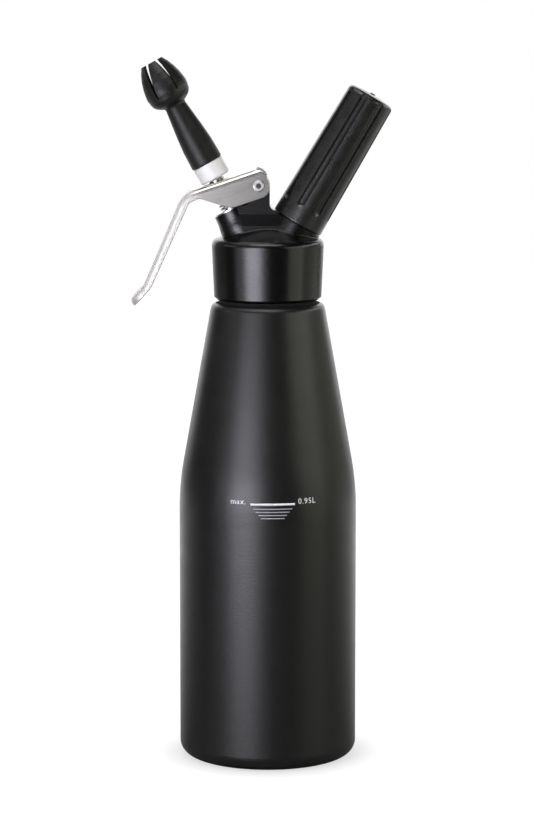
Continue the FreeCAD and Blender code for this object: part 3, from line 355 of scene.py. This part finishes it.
def swept_mesh(name, rings):
    """A closed tube through rings of points, capped at both ends."""
    mesh = bpy.data.meshes.new(name)
    form = bmesh.new()
    rows = [[form.verts.new(point) for point in ring] for ring in rings]
    for row, above in zip(rows, rows[1:]):
        for index in range(len(row)):
            after = (index + 1) % len(row)
            form.faces.new((row[index], row[after], above[after], above[index]))
    form.faces.new(rows[0][::-1])
    form.faces.new(rows[-1])
    bmesh.ops.recalc_face_normals(form, faces=form.faces)
    for face in form.faces:
        face.smooth = True
    form.to_mesh(mesh)
    form.free()
    return mesh


def thread_mesh(name, radius, ridge, pitch, low, high, sunk=0.05):
    """A thread's ridge round the Z axis, in millimetres: a trapezoid on a helix that fades in and out, its
    foot sunk in the core."""
    steps = 72
    end_gap, half_foot, half_crest = 0.35, 0.36, 0.11      # as shares of the pitch
    fading, thinnest = 0.3 * steps, 0.02
    count = int(((high - low) / pitch - 2 * end_gap) * steps)
    foot = radius - sunk
    rings = []
    for index in range(count + 1):
        turn = 2 * math.pi * index / steps
        level = low + end_gap * pitch + pitch * index / steps
        fade = min(1.0, index / fading, (count - index) / fading)
        crest = foot + (ridge + sunk) * max(fade, thinnest)
        ring = []
        for out, up in ((foot, -half_foot), (crest, -half_crest), (crest, half_crest), (foot, half_foot)):
            height = level + up * pitch
            ring.append(Vector((out * math.cos(turn), out * math.sin(turn), height)) * MM)
        rings.append(ring)
    mesh = swept_mesh(name, rings)
    for polygon in mesh.polygons:
        polygon.use_smooth = False
    return mesh


def coil_mesh(name, wire, diameter, low, high, turns):
    """A compression spring round the Z axis, in millimetres, with one closed turn at each end."""
    steps, sides = 48, 14
    radius = (diameter - wire) / 2
    length = high - low - wire
    closed = wire / length
    rings = []
    count = int(turns * steps)
    for index in range(count + 1):
        turn = index / steps
        if turn < 1:
            share = closed * turn
        elif turn > turns - 1:
            share = 1 - closed * (turns - turn)
        else:
            share = closed + (1 - 2 * closed) * (turn - 1) / (turns - 2)
        angle = 2 * math.pi * turn
        outwards = Vector((math.cos(angle), math.sin(angle), 0))
        middle = outwards * radius + Vector((0, 0, low + wire / 2 + length * share))
        ring = []
        for side in range(sides):
            lean = 2 * math.pi * side / sides
            ring.append((middle + outwards * (wire / 2 * math.cos(lean))
                         + Vector((0, 0, wire / 2 * math.sin(lean)))) * MM)
        rings.append(ring)
    return swept_mesh(name, rings)


def axis_frame(joint_name):
    """The frame whose Z runs outwards along a joint's axis, from where that axis meets the bottle's."""
    joint = JOINTS[joint_name]
    axis = Vector(joint["axis"])
    on_axis = Vector(joint["pos_m"])
    origin = on_axis - axis * (on_axis.x / axis.x)
    lean = math.atan2(axis.x, axis.z)
    return Matrix.Translation(origin) @ Matrix.Rotation(lean, 4, "Y")


VALVE = axis_frame("nozzle_turn")
CHARGER = axis_frame("holder_turn")


def upwards(place):
    """The direction in which a leaning axis runs."""
    return (place.to_3x3() @ Vector((0, 0, 1))).normalized()


def wrapped(mesh, bottle, angle, height, proud):
    """Bends a flat mesh, x across and y up in metres, round the bottle's front at that angle and height."""
    surface = BVHTree.FromPolygons([vertex.co for vertex in bottle.data.vertices],
                                   [polygon.vertices for polygon in bottle.data.polygons])
    radius = max(vertex.co.x for vertex in bottle.data.vertices)
    for vertex in mesh.vertices:
        turn = angle + vertex.co.x / radius
        outwards = Vector((math.sin(turn), -math.cos(turn), 0))
        level = Vector((0, 0, height + vertex.co.y))
        hit = surface.ray_cast(level + outwards * 2 * radius, -outwards)[0]
        if hit is None:
            raise RuntimeError("the print misses the bottle")
        vertex.co = hit + outwards * (proud + vertex.co.z)
    return mesh


def bar_mesh(name, width, height, thickness):
    """A flat bar with enough stations across to bend smoothly, x across and y up."""
    stations = 48
    rings = []
    for index in range(stations + 1):
        across = width * (index / stations - 0.5)
        rings.append([Vector((across, up * height / 2, out * thickness))
                      for up, out in ((-1, 0), (1, 0), (1, 1), (-1, 1))])
    return swept_mesh(name, rings)


def lettering_mesh(name, words, height, spacing, thickness):
    """Words as a thin solid, centred on x with their baseline at y = 0, and capitals of that height."""
    capital_share = 0.69      # a capital's height as a share of the font's size
    curve = bpy.data.curves.new(name, "FONT")
    curve.body = words
    curve.size = height / capital_share
    curve.space_character = spacing
    curve.align_x = "CENTER"
    curve.extrude = thickness / 2
    curve.resolution_u = 3
    holder = bpy.data.objects.new(name, curve)
    mesh = bpy.data.meshes.new_from_object(holder)
    bpy.data.objects.remove(holder)
    bpy.data.curves.remove(curve)
    mesh.transform(Matrix.Translation((0, 0, thickness / 2)))
    return mesh


# ---------------------------------------------------------------- what a user may change

def colour_property(name, description, default):
    """A property that holds an sRGB hex colour."""
    return StringProperty(name=name, description=description, default=default)


def length_property(name, description, default):
    """A property that holds a length. Its default is given in millimetres."""
    return FloatProperty(name=name, description=description, default=default * MM, unit="LENGTH", min=0.0)


class DispenserColours(PropertyGroup):
    """The colours of the dispenser's finishes and of its painted light and shade, as sRGB hex codes."""
    bottle: colour_property("Bottle", "Powder coat of the bottle", "#0b0b0a")
    bottle_grain: colour_property("Bottle grain", "Lighter grains of the powder coat", "#191917")
    # Painted shade: near-black for the step above the shoulder, which lies in shade under the collar.
    gap_shade: colour_property("Primer", "Matt primer on the step above the shoulder", "#030303")
    lacquer: colour_property("Lacquer", "Stoving lacquer of the head", "#040404")
    lacquer_grain: colour_property("Lacquer grain", "Lighter grains of the lacquer", "#060606")
    plastic: colour_property("Plastic", "Moulded nozzle and charger holder", "#141412")
    plastic_grain: colour_property("Plastic grain", "Lighter grains of the mouldings", "#191916")
    # Painted shade: the darker colour of the holder's flutes.
    flute_shade: colour_property("Flute", "Flutes of the charger holder", "#020202")
    steel: colour_property("Steel", "Satin stainless steel", "#b8b6b0")
    steel_grain: colour_property("Steel grain", "Lighter streaks of the satin steel", "#d6d3cc")
    # Painted highlight: the paler colour of the lever's handle.
    handle_painted_highlight: colour_property("Tumbled steel", "Handle of the lever", "#dcdad6")
    # Painted shade: the darker colour of the hinge pin's tool recess.
    recess_painted_shade: colour_property("Recess", "Tool's recess in the hinge pin", "#5c5b58")
    bright_steel: colour_property("Bright steel", "Polished stainless steel", "#f4f3f1")
    aluminium: colour_property("Aluminium", "Machined aluminium", "#d4d4d6")
    zinc: colour_property("Zinc", "Plating of the gas charger", "#bfc1c4")
    rubber: colour_property("Rubber", "Gaskets and rings", "#242426")
    silicone: colour_property("Silicone", "Check valve", "#cbc6be")
    ink: colour_property("Ink", "Print on the bottle", "#f2f4f6")
    ink_thin: colour_property("Thin ink", "Finer lines of the print", "#b4b6bc")


class DispenserSizes(PropertyGroup):
    """Sizes of the pieces that are added to the solids."""
    neck_pitch: length_property("Neck pitch", "Pitch of the bottle's neck thread", 3.2)
    fine_pitch: length_property("Fine pitch", "Pitch of the nipple and spigot threads", 2.0)
    stem_pitch: length_property("Stem pitch", "Pitch of the valve stem's thread", 1.25)
    ridge: length_property("Ridge", "How far a thread's ridge stands out", 0.26)
    spring_wire: length_property("Spring wire", "Diameter of the return spring's wire", 1.2)
    spring_diameter: length_property("Spring diameter", "Outside diameter of the return spring", 12.2)
    spring_turns: FloatProperty(name="Spring turns", description="Turns of the return spring",
                                default=5.5, min=3)
    mark_height: length_property("Mark height", "Height of the fill line above the base", 145.4)
    mark_width: length_property("Mark width", "Width of the fill line", 24.0)
    print_thickness: length_property("Print thickness", "Thickness of the ink", 0.02)
    letter_height: length_property("Letter height", "Height of the print's capitals", 2.9)


class StudioSettings(PropertyGroup):
    """Camera, lamps and floor."""
    camera_place: FloatVectorProperty(name="Camera place", description="Where the camera stands",
                                      default=(-0.00043, -1.65, 0.4167), subtype="TRANSLATION", unit="LENGTH")
    camera_pitch: FloatProperty(name="Camera pitch", description="How far the camera looks down",
                                default=math.radians(7.9), subtype="ANGLE", unit="ROTATION")
    lens: FloatProperty(name="Lens", description="Focal length", default=134.02, unit="CAMERA")
    lamp_level: FloatProperty(name="Lamp level", description="Multiplies every lamp", default=1.0, min=0.0)
    floor_side: length_property("Floor side", "Side of the square floor", 6000.0)


# ---------------------------------------------------------------- operators

class DISPENSER_OT_bottle(Operator):
    """Coats the bottle, threads its neck and prints its fill mark"""
    bl_idname = "dispenser.bottle"
    bl_label = "Bottle"

    def execute(self, context):
        colours, sizes = context.scene.dispenser_colours, context.scene.dispenser_sizes
        coat = powder_coated_steel(colours, shoulder_height=247.9 * MM, neck_height=251.6 * MM)
        finish(coat, "bottle")
        steel = polished_steel(colours, "turned_neck_steel", roughness=0.28)
        neck = thread_mesh("neck_thread", radius=25.3, ridge=sizes.ridge / MM,
                           pitch=sizes.neck_pitch / MM, low=252.0, high=271.5)
        new_piece("bottle_neck_thread", neck, steel, "bottle")

        ink = screen_print("white_screen_ink", colours.ink)
        thin_ink = screen_print("grey_screen_ink", colours.ink_thin)
        bottle = NODES["bottle"]
        line_angle = math.radians(3.2)
        proud, letter_spacing = 0.004 * MM, 1.12
        # Each line's height from the mark in millimetres, its share of the mark's width, and its thickness.
        lines = (("fill_line", 0.0, 1.0, 1.15, ink), ("fill_step_1", -2.45, 0.875, 0.5, thin_ink),
                 ("fill_step_2", -4.1, 0.755, 0.5, thin_ink), ("fill_step_3", -5.8, 0.63, 0.5, thin_ink),
                 ("fill_step_4", -7.45, 0.525, 0.5, thin_ink))
        for name, height, share, thickness, material in lines:
            bar = bar_mesh(name, sizes.mark_width * share, thickness * MM, sizes.print_thickness)
            wrapped(bar, bottle, line_angle, sizes.mark_height + height * MM, proud)
            new_piece(name, bar, material, "bottle")
        for name, words, angle in (("fill_word", "max.", -19.3), ("fill_volume", "0.95L", 25.8)):
            letters = lettering_mesh(name, words, sizes.letter_height, letter_spacing, sizes.print_thickness)
            wrapped(letters, bottle, math.radians(angle), sizes.mark_height, proud)
            new_piece(name, letters, ink, "bottle")
        return {"FINISHED"}


class DISPENSER_OT_head(Operator):
    """Lacquers the head, threads its nipple and finishes the seals"""
    bl_idname = "dispenser.head"
    bl_label = "Head"

    def execute(self, context):
        colours, sizes = context.scene.dispenser_colours, context.scene.dispenser_sizes
        nipple_foot = CHARGER @ Vector((0, 0, 31.0 * MM))
        finish(lacquered_casting(colours, nipple_foot, upwards(CHARGER), nipple_radius=11.6 * MM), "head")
        machined = polished_steel(colours, "machined_aluminium", roughness=0.34)
        nipple = thread_mesh("nipple_thread", radius=11.2, ridge=sizes.ridge / MM,
                             pitch=sizes.fine_pitch / MM, low=32.5, high=44.5)
        new_piece("nipple_thread", nipple, machined, "head", CHARGER)
        rubber = seal_rubber(colours, "food_grade_rubber", colours.rubber)
        finish(rubber, "head_gasket", "stem_o_ring", "stem_seal", "nozzle_washer", "carrier_o_ring",
               "charger_washer")
        finish(seal_rubber(colours, "translucent_silicone", colours.silicone), "check_valve")
        return {"FINISHED"}


class DISPENSER_OT_lever(Operator):
    """Finishes the lever and its hinge pin"""
    bl_idname = "dispenser.lever"
    bl_label = "Lever"

    def execute(self, context):
        colours = context.scene.dispenser_colours
        finish(satin_sheet_steel(colours, elbow=-34 * MM, tilt=math.radians(18.5)), "lever")
        finish(pin_steel(colours, pivot=Vector(JOINTS["lever_pivot"]["pos_m"])), "pivot_pin", "pivot_screw")
        return {"FINISHED"}


class DISPENSER_OT_valve(Operator):
    """Finishes the spray valve, winds its spring and threads its stem and adaptor"""
    bl_idname = "dispenser.valve"
    bl_label = "Spray valve"

    def execute(self, context):
        colours, sizes = context.scene.dispenser_colours, context.scene.dispenser_sizes
        turned_steel = polished_steel(colours, "turned_steel", roughness=0.3)
        finish(turned_steel, "valve_bush", "valve_stem", "seal_nut", "spring_cap")
        bright = blasted_steel(colours)
        finish(bright, "nozzle_adaptor")

        stem = thread_mesh("stem_thread", radius=4.0, ridge=0.35,
                           pitch=sizes.stem_pitch / MM, low=53.2, high=58.4)
        new_piece("stem_thread", stem, turned_steel, "valve", VALVE)
        spigot = thread_mesh("spigot_thread", radius=6.6, ridge=sizes.ridge / MM,
                             pitch=sizes.fine_pitch / MM, low=68.2, high=79.0)
        new_piece("spigot_thread", spigot, bright, "valve", VALVE)

        # The spring's ends are given in millimetres up the valve's axis.
        wire = polished_steel(colours, "drawn_spring_wire", roughness=0.26)
        foot, top = 40.2, 51.3
        coil = coil_mesh("valve_coil", sizes.spring_wire / MM, sizes.spring_diameter / MM, foot, top,
                         sizes.spring_turns)
        spring = new_piece("valve_coil", coil, wire, "head", VALVE)
        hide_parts("valve_spring")
        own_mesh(spring)
        return {"FINISHED"}


class DISPENSER_OT_nozzle(Operator):
    """Finishes the tulip nozzle"""
    bl_idname = "dispenser.nozzle"
    bl_label = "Tulip nozzle"

    def execute(self, context):
        colours = context.scene.dispenser_colours
        plastic = moulded_plastic(colours, "moulded_nozzle_plastic", index=1.42, roughness=0.42,
                                  grain=0.5, depth=0.008)
        finish(plastic, "tulip_nozzle")
        return {"FINISHED"}


class DISPENSER_OT_charger(Operator):
    """Finishes the charger, its holder and the needle that pierces it"""
    bl_idname = "dispenser.charger"
    bl_label = "Charger and holder"

    def execute(self, context):
        colours = context.scene.dispenser_colours
        finish(plated_steel(colours), "gas_charger")
        # These share their finish with the valve's turned pieces and with the machined nipple.
        finish(bpy.data.materials["turned_steel"], "needle_carrier", "piercing_needle")
        finish(bpy.data.materials["machined_aluminium"], "holder_sleeve")
        plastic = fluted_plastic(colours, CHARGER.translation, upwards(CHARGER))
        finish(plastic, "holder_grip")

        # The stub that the mould's gate left on the holder's end: radii and heights in millimetres.
        top_level, sides = 110.3, 32
        profile = ((1.5, -0.05), (1.5, 0.25), (1.1, 0.5), (0.45, 0.62))
        turns = [2 * math.pi * side / sides for side in range(sides)]
        rings = [[Vector((radius * math.cos(turn), radius * math.sin(turn), top_level + up)) * MM
                  for turn in turns] for radius, up in profile]
        stub = swept_mesh("holder_gate_stub", rings)
        new_piece("holder_gate_stub", stub, plastic, "holder", CHARGER)
        return {"FINISHED"}


class DISPENSER_OT_studio(Operator):
    """Sets the floor, lamps, surroundings and camera"""
    bl_idname = "dispenser.studio"
    bl_label = "Studio"

    def execute(self, context):
        studio = context.scene.dispenser_studio
        self.lay_floor(studio)
        self.light_surroundings(context.scene)
        self.hang_lamps(studio)
        self.place_camera(context.scene, studio)
        return {"FINISHED"}

    def lay_floor(self, studio):
        """A pale matt floor. What the camera sees of it is lifted to white, less so near the object, which
        paints a shadow there beside the real one.
        """
        material = bpy.data.materials.new("pale_matt_floor")
        material.use_nodes = True
        tree = material.node_tree
        tree.nodes.clear()
        seen = add_node(tree, "ShaderNodeLightPath").outputs["Is Camera Ray"]
        sheet, glow = self.floor_sheet(tree, seen), self.floor_glow(tree, seen)
        both = add_node(tree, "ShaderNodeAddShader", {0: sheet, 1: glow})
        add_node(tree, "ShaderNodeOutputMaterial", {"Surface": both.outputs[0]})

        side = studio.floor_side / 2
        corners = [(-side, -side, 0), (side, -side, 0), (side, side, 0), (-side, side, 0)]
        mesh = bpy.data.meshes.new("floor")
        mesh.from_pydata(corners, [], [(0, 1, 2, 3)])
        mesh.materials.append(material)
        floor = bpy.data.objects.new("floor", mesh)
        bpy.context.scene.collection.objects.link(floor)

    def floor_sheet(self, tree, seen):
        """Matt paper with a sheen at grazing angles, which only reflections see."""
        paleness = add_node(tree, "ShaderNodeMapRange", {"Value": seen, "To Min": 0.2, "To Max": 0.22})
        matt = add_node(tree, "ShaderNodeBsdfDiffuse", {"Color": paleness.outputs[0]})
        sheen = add_node(tree, "ShaderNodeBsdfGlossy", {"Color": (0.8, 0.8, 0.8, 1), "Roughness": 0.3})
        grazing = add_node(tree, "ShaderNodeFresnel", {"IOR": 1.45}).outputs[0]
        unseen = add_node(tree, "ShaderNodeMath", {0: 1.0, 1: seen}, operation="SUBTRACT").outputs[0]
        share = add_node(tree, "ShaderNodeMath", {0: grazing, 1: unseen}, operation="MULTIPLY").outputs[0]
        sheet = add_node(tree, "ShaderNodeMixShader", {0: share, 1: matt.outputs[0], 2: sheen.outputs[0]})
        return sheet.outputs[0]

    def floor_glow(self, tree, seen):
        """What lifts the floor to white for the camera, and a glow behind the object that only reflections
        see, a painted reflection of lit paper. Close to the object the camera's lift is smaller, a painted
        shadow round its foot."""
        place = add_node(tree, "ShaderNodeTexCoord").outputs["Object"]
        reach = add_node(tree, "ShaderNodeVectorMath", {0: place}, operation="LENGTH").outputs["Value"]
        # Painted shadow: the camera's lift is smaller within a few centimetres of the object's axis.
        lift_with_painted_shadow = add_node(tree, "ShaderNodeMapRange", {
            "Value": reach, "From Min": 0.04, "From Max": 0.068, "To Min": 0.66, "To Max": 0.92},
            interpolation_type="SMOOTHSTEP").outputs[0]
        far = add_node(tree, "ShaderNodeMapRange", {
            "Value": reach, "From Min": 0.06, "From Max": 0.2, "To Min": 0.0, "To Max": 0.08}).outputs[0]
        lift = add_node(tree, "ShaderNodeMath", {0: lift_with_painted_shadow, 1: far}, operation="ADD").outputs[0]
        behind = add_node(tree, "ShaderNodeSeparateXYZ", {0: place}).outputs["Y"]
        # Painted reflection: behind the object the floor glows for reflections only, standing in for lit
        # paper.
        painted_paper_glow = add_node(tree, "ShaderNodeMapRange", {
            "Value": behind, "From Min": 0.0, "From Max": 0.6, "To Min": 0.0, "To Max": 0.9}).outputs[0]
        edge = add_node(tree, "ShaderNodeMapRange", {
            "Value": reach, "From Min": 1.0, "From Max": 1.6, "To Min": 1.0, "To Max": 0.0}).outputs[0]
        bright = add_node(tree, "ShaderNodeMath", {0: painted_paper_glow, 1: edge}, operation="MULTIPLY").outputs[0]
        glossy = add_node(tree, "ShaderNodeLightPath").outputs["Is Glossy Ray"]
        mirrored = add_node(tree, "ShaderNodeMath", {0: bright, 1: glossy}, operation="MULTIPLY").outputs[0]
        strength = add_node(tree, "ShaderNodeMath", {0: lift, 1: seen, 2: mirrored}, operation="MULTIPLY_ADD")
        glow = add_node(tree, "ShaderNodeEmission", {
            "Color": (1, 1, 1, 1), "Strength": strength.outputs[0]})
        return glow.outputs[0]

    def light_surroundings(self, scene):
        """A white sweep behind the object and a dim studio before it. The camera sees white all round."""
        world = bpy.data.worlds.new("studio")
        scene.world = world
        world.use_nodes = True
        tree = world.node_tree
        tree.nodes.clear()
        direction = add_node(tree, "ShaderNodeTexCoord").outputs["Generated"]
        backwards = add_node(tree, "ShaderNodeSeparateXYZ", {0: direction}).outputs["Y"]
        sweep = add_node(tree, "ShaderNodeMapRange", {
            "Value": backwards, "From Min": 0.6, "From Max": 0.95, "To Min": 0.03, "To Max": 1.8},
            interpolation_type="SMOOTHSTEP").outputs[0]
        around = add_node(tree, "ShaderNodeBackground", {"Color": (1, 1, 1, 1), "Strength": sweep})
        white = add_node(tree, "ShaderNodeBackground", {"Color": (1, 1, 1, 1), "Strength": 1.0})
        seen = add_node(tree, "ShaderNodeLightPath").outputs["Is Camera Ray"]
        mixed = add_node(tree, "ShaderNodeMixShader", {0: seen, 1: around.outputs[0], 2: white.outputs[0]})
        add_node(tree, "ShaderNodeOutputWorld", {"Surface": mixed.outputs[0]})

    def hang_lamps(self, studio):
        """Soft boxes that face the object's middle. Each has an azimuth from the front and an elevation in
        degrees, a distance, a width and a height in metres, a radiance and a colour."""
        middle = Vector((0, 0, 0.22))
        energy_share = 4      # an area lamp's energy for each unit of radiance and each square metre
        boxes = (
            ("left_soft_box", -30.5, -7, 0.8, 0.34, 0.42, 2.7, "#f4f3ff"),
            ("left_halo", -30.0, -7, 0.8, 0.56, 0.42, 3.1, "#f4f3ff"),
            ("left_rim", -35, -7, 0.8, 1.08, 0.42, 0.8, "#f4f3ff"),
            ("left_upper", -31, 21, 0.8, 0.7, 0.36, 0.4, "#f8f8ff"),
            ("left_strip", -95, 21, 0.8, 0.92, 0.23, 0.75, "#ffffff"),
            ("right_soft_box", 60, -5, 0.8, 0.46, 0.49, 0.75, "#fffff0"),
            ("right_fill", 98, -5, 0.8, 0.92, 0.49, 0.33, "#fffff0"),
            ("right_upper", 61, 17, 0.8, 0.72, 0.2, 1.35, "#fffff4"),
            ("right_strip", 105, 24, 0.8, 0.8, 0.2, 1.8, "#ffffff"),
            ("front_top", -6, 62, 0.9, 0.7, 0.4, 2.8, "#ffffff"),
            ("top_soft_box", -90, 70, 1.0, 0.93, 0.93, 0.8, "#ffffff"),
        )
        for name, azimuth, elevation, distance, width, height, radiance, colour in boxes:
            lamp = bpy.data.lights.new(name, "AREA")
            lamp.shape = "RECTANGLE"
            lamp.size, lamp.size_y = width, height
            lamp.color = linear(colour)[:3]
            lamp.energy = radiance * energy_share * width * height * studio.lamp_level
            turn, rise = math.radians(azimuth), math.radians(elevation)
            level = math.cos(rise)
            outwards = Vector((math.sin(turn) * level, -math.cos(turn) * level, math.sin(rise)))
            holder = bpy.data.objects.new(name, lamp)
            holder.location = middle + outwards * distance
            holder.rotation_euler = outwards.to_track_quat("Z", "Y").to_euler()
            holder.visible_camera = False
            bpy.context.scene.collection.objects.link(holder)

    def place_camera(self, scene, studio):
        """A long lens a little above the object, looking slightly down."""
        camera = bpy.data.cameras.new("camera")
        camera.lens = studio.lens
        camera.sensor_width = 36.0
        camera.sensor_fit = "AUTO"
        camera.clip_end = 20.0
        holder = bpy.data.objects.new("camera", camera)
        holder.location = studio.camera_place
        holder.rotation_euler = (math.pi / 2 - studio.camera_pitch, 0, 0)
        scene.collection.objects.link(holder)
        scene.camera = holder
        scene.view_settings.view_transform = "Standard"


OPERATORS = (DISPENSER_OT_bottle, DISPENSER_OT_head, DISPENSER_OT_lever, DISPENSER_OT_valve,
             DISPENSER_OT_nozzle, DISPENSER_OT_charger, DISPENSER_OT_studio)


class VIEW3D_PT_dispenser(Panel):
    """Lists the dispenser's pieces and its studio"""
    bl_label = "Cream dispenser"
    bl_idname = "VIEW3D_PT_dispenser"
    bl_space_type = "VIEW_3D"
    bl_region_type = "UI"
    bl_category = "Dispenser"

    def draw(self, context):
        scene = context.scene
        for operator in OPERATORS:
            self.layout.operator(operator.bl_idname)
        for group in (scene.dispenser_colours, scene.dispenser_sizes, scene.dispenser_studio):
            box = self.layout.box()
            for name in group.__annotations__:
                box.prop(group, name)


CLASSES = (DispenserColours, DispenserSizes, StudioSettings, *OPERATORS, VIEW3D_PT_dispenser)


def register():
    for item in CLASSES:
        bpy.utils.register_class(item)
    bpy.types.Scene.dispenser_colours = PointerProperty(type=DispenserColours)
    bpy.types.Scene.dispenser_sizes = PointerProperty(type=DispenserSizes)
    bpy.types.Scene.dispenser_studio = PointerProperty(type=StudioSettings)


def unregister():
    del bpy.types.Scene.dispenser_studio
    del bpy.types.Scene.dispenser_sizes
    del bpy.types.Scene.dispenser_colours
    for item in reversed(CLASSES):
        bpy.utils.unregister_class(item)


def main():
    register()
    bpy.ops.dispenser.bottle()
    bpy.ops.dispenser.head()
    bpy.ops.dispenser.lever()
    bpy.ops.dispenser.valve()
    bpy.ops.dispenser.nozzle()
    bpy.ops.dispenser.charger()
    bpy.ops.dispenser.studio()
    bpy.context.view_layer.update()


if __name__ == "__main__":
    main()
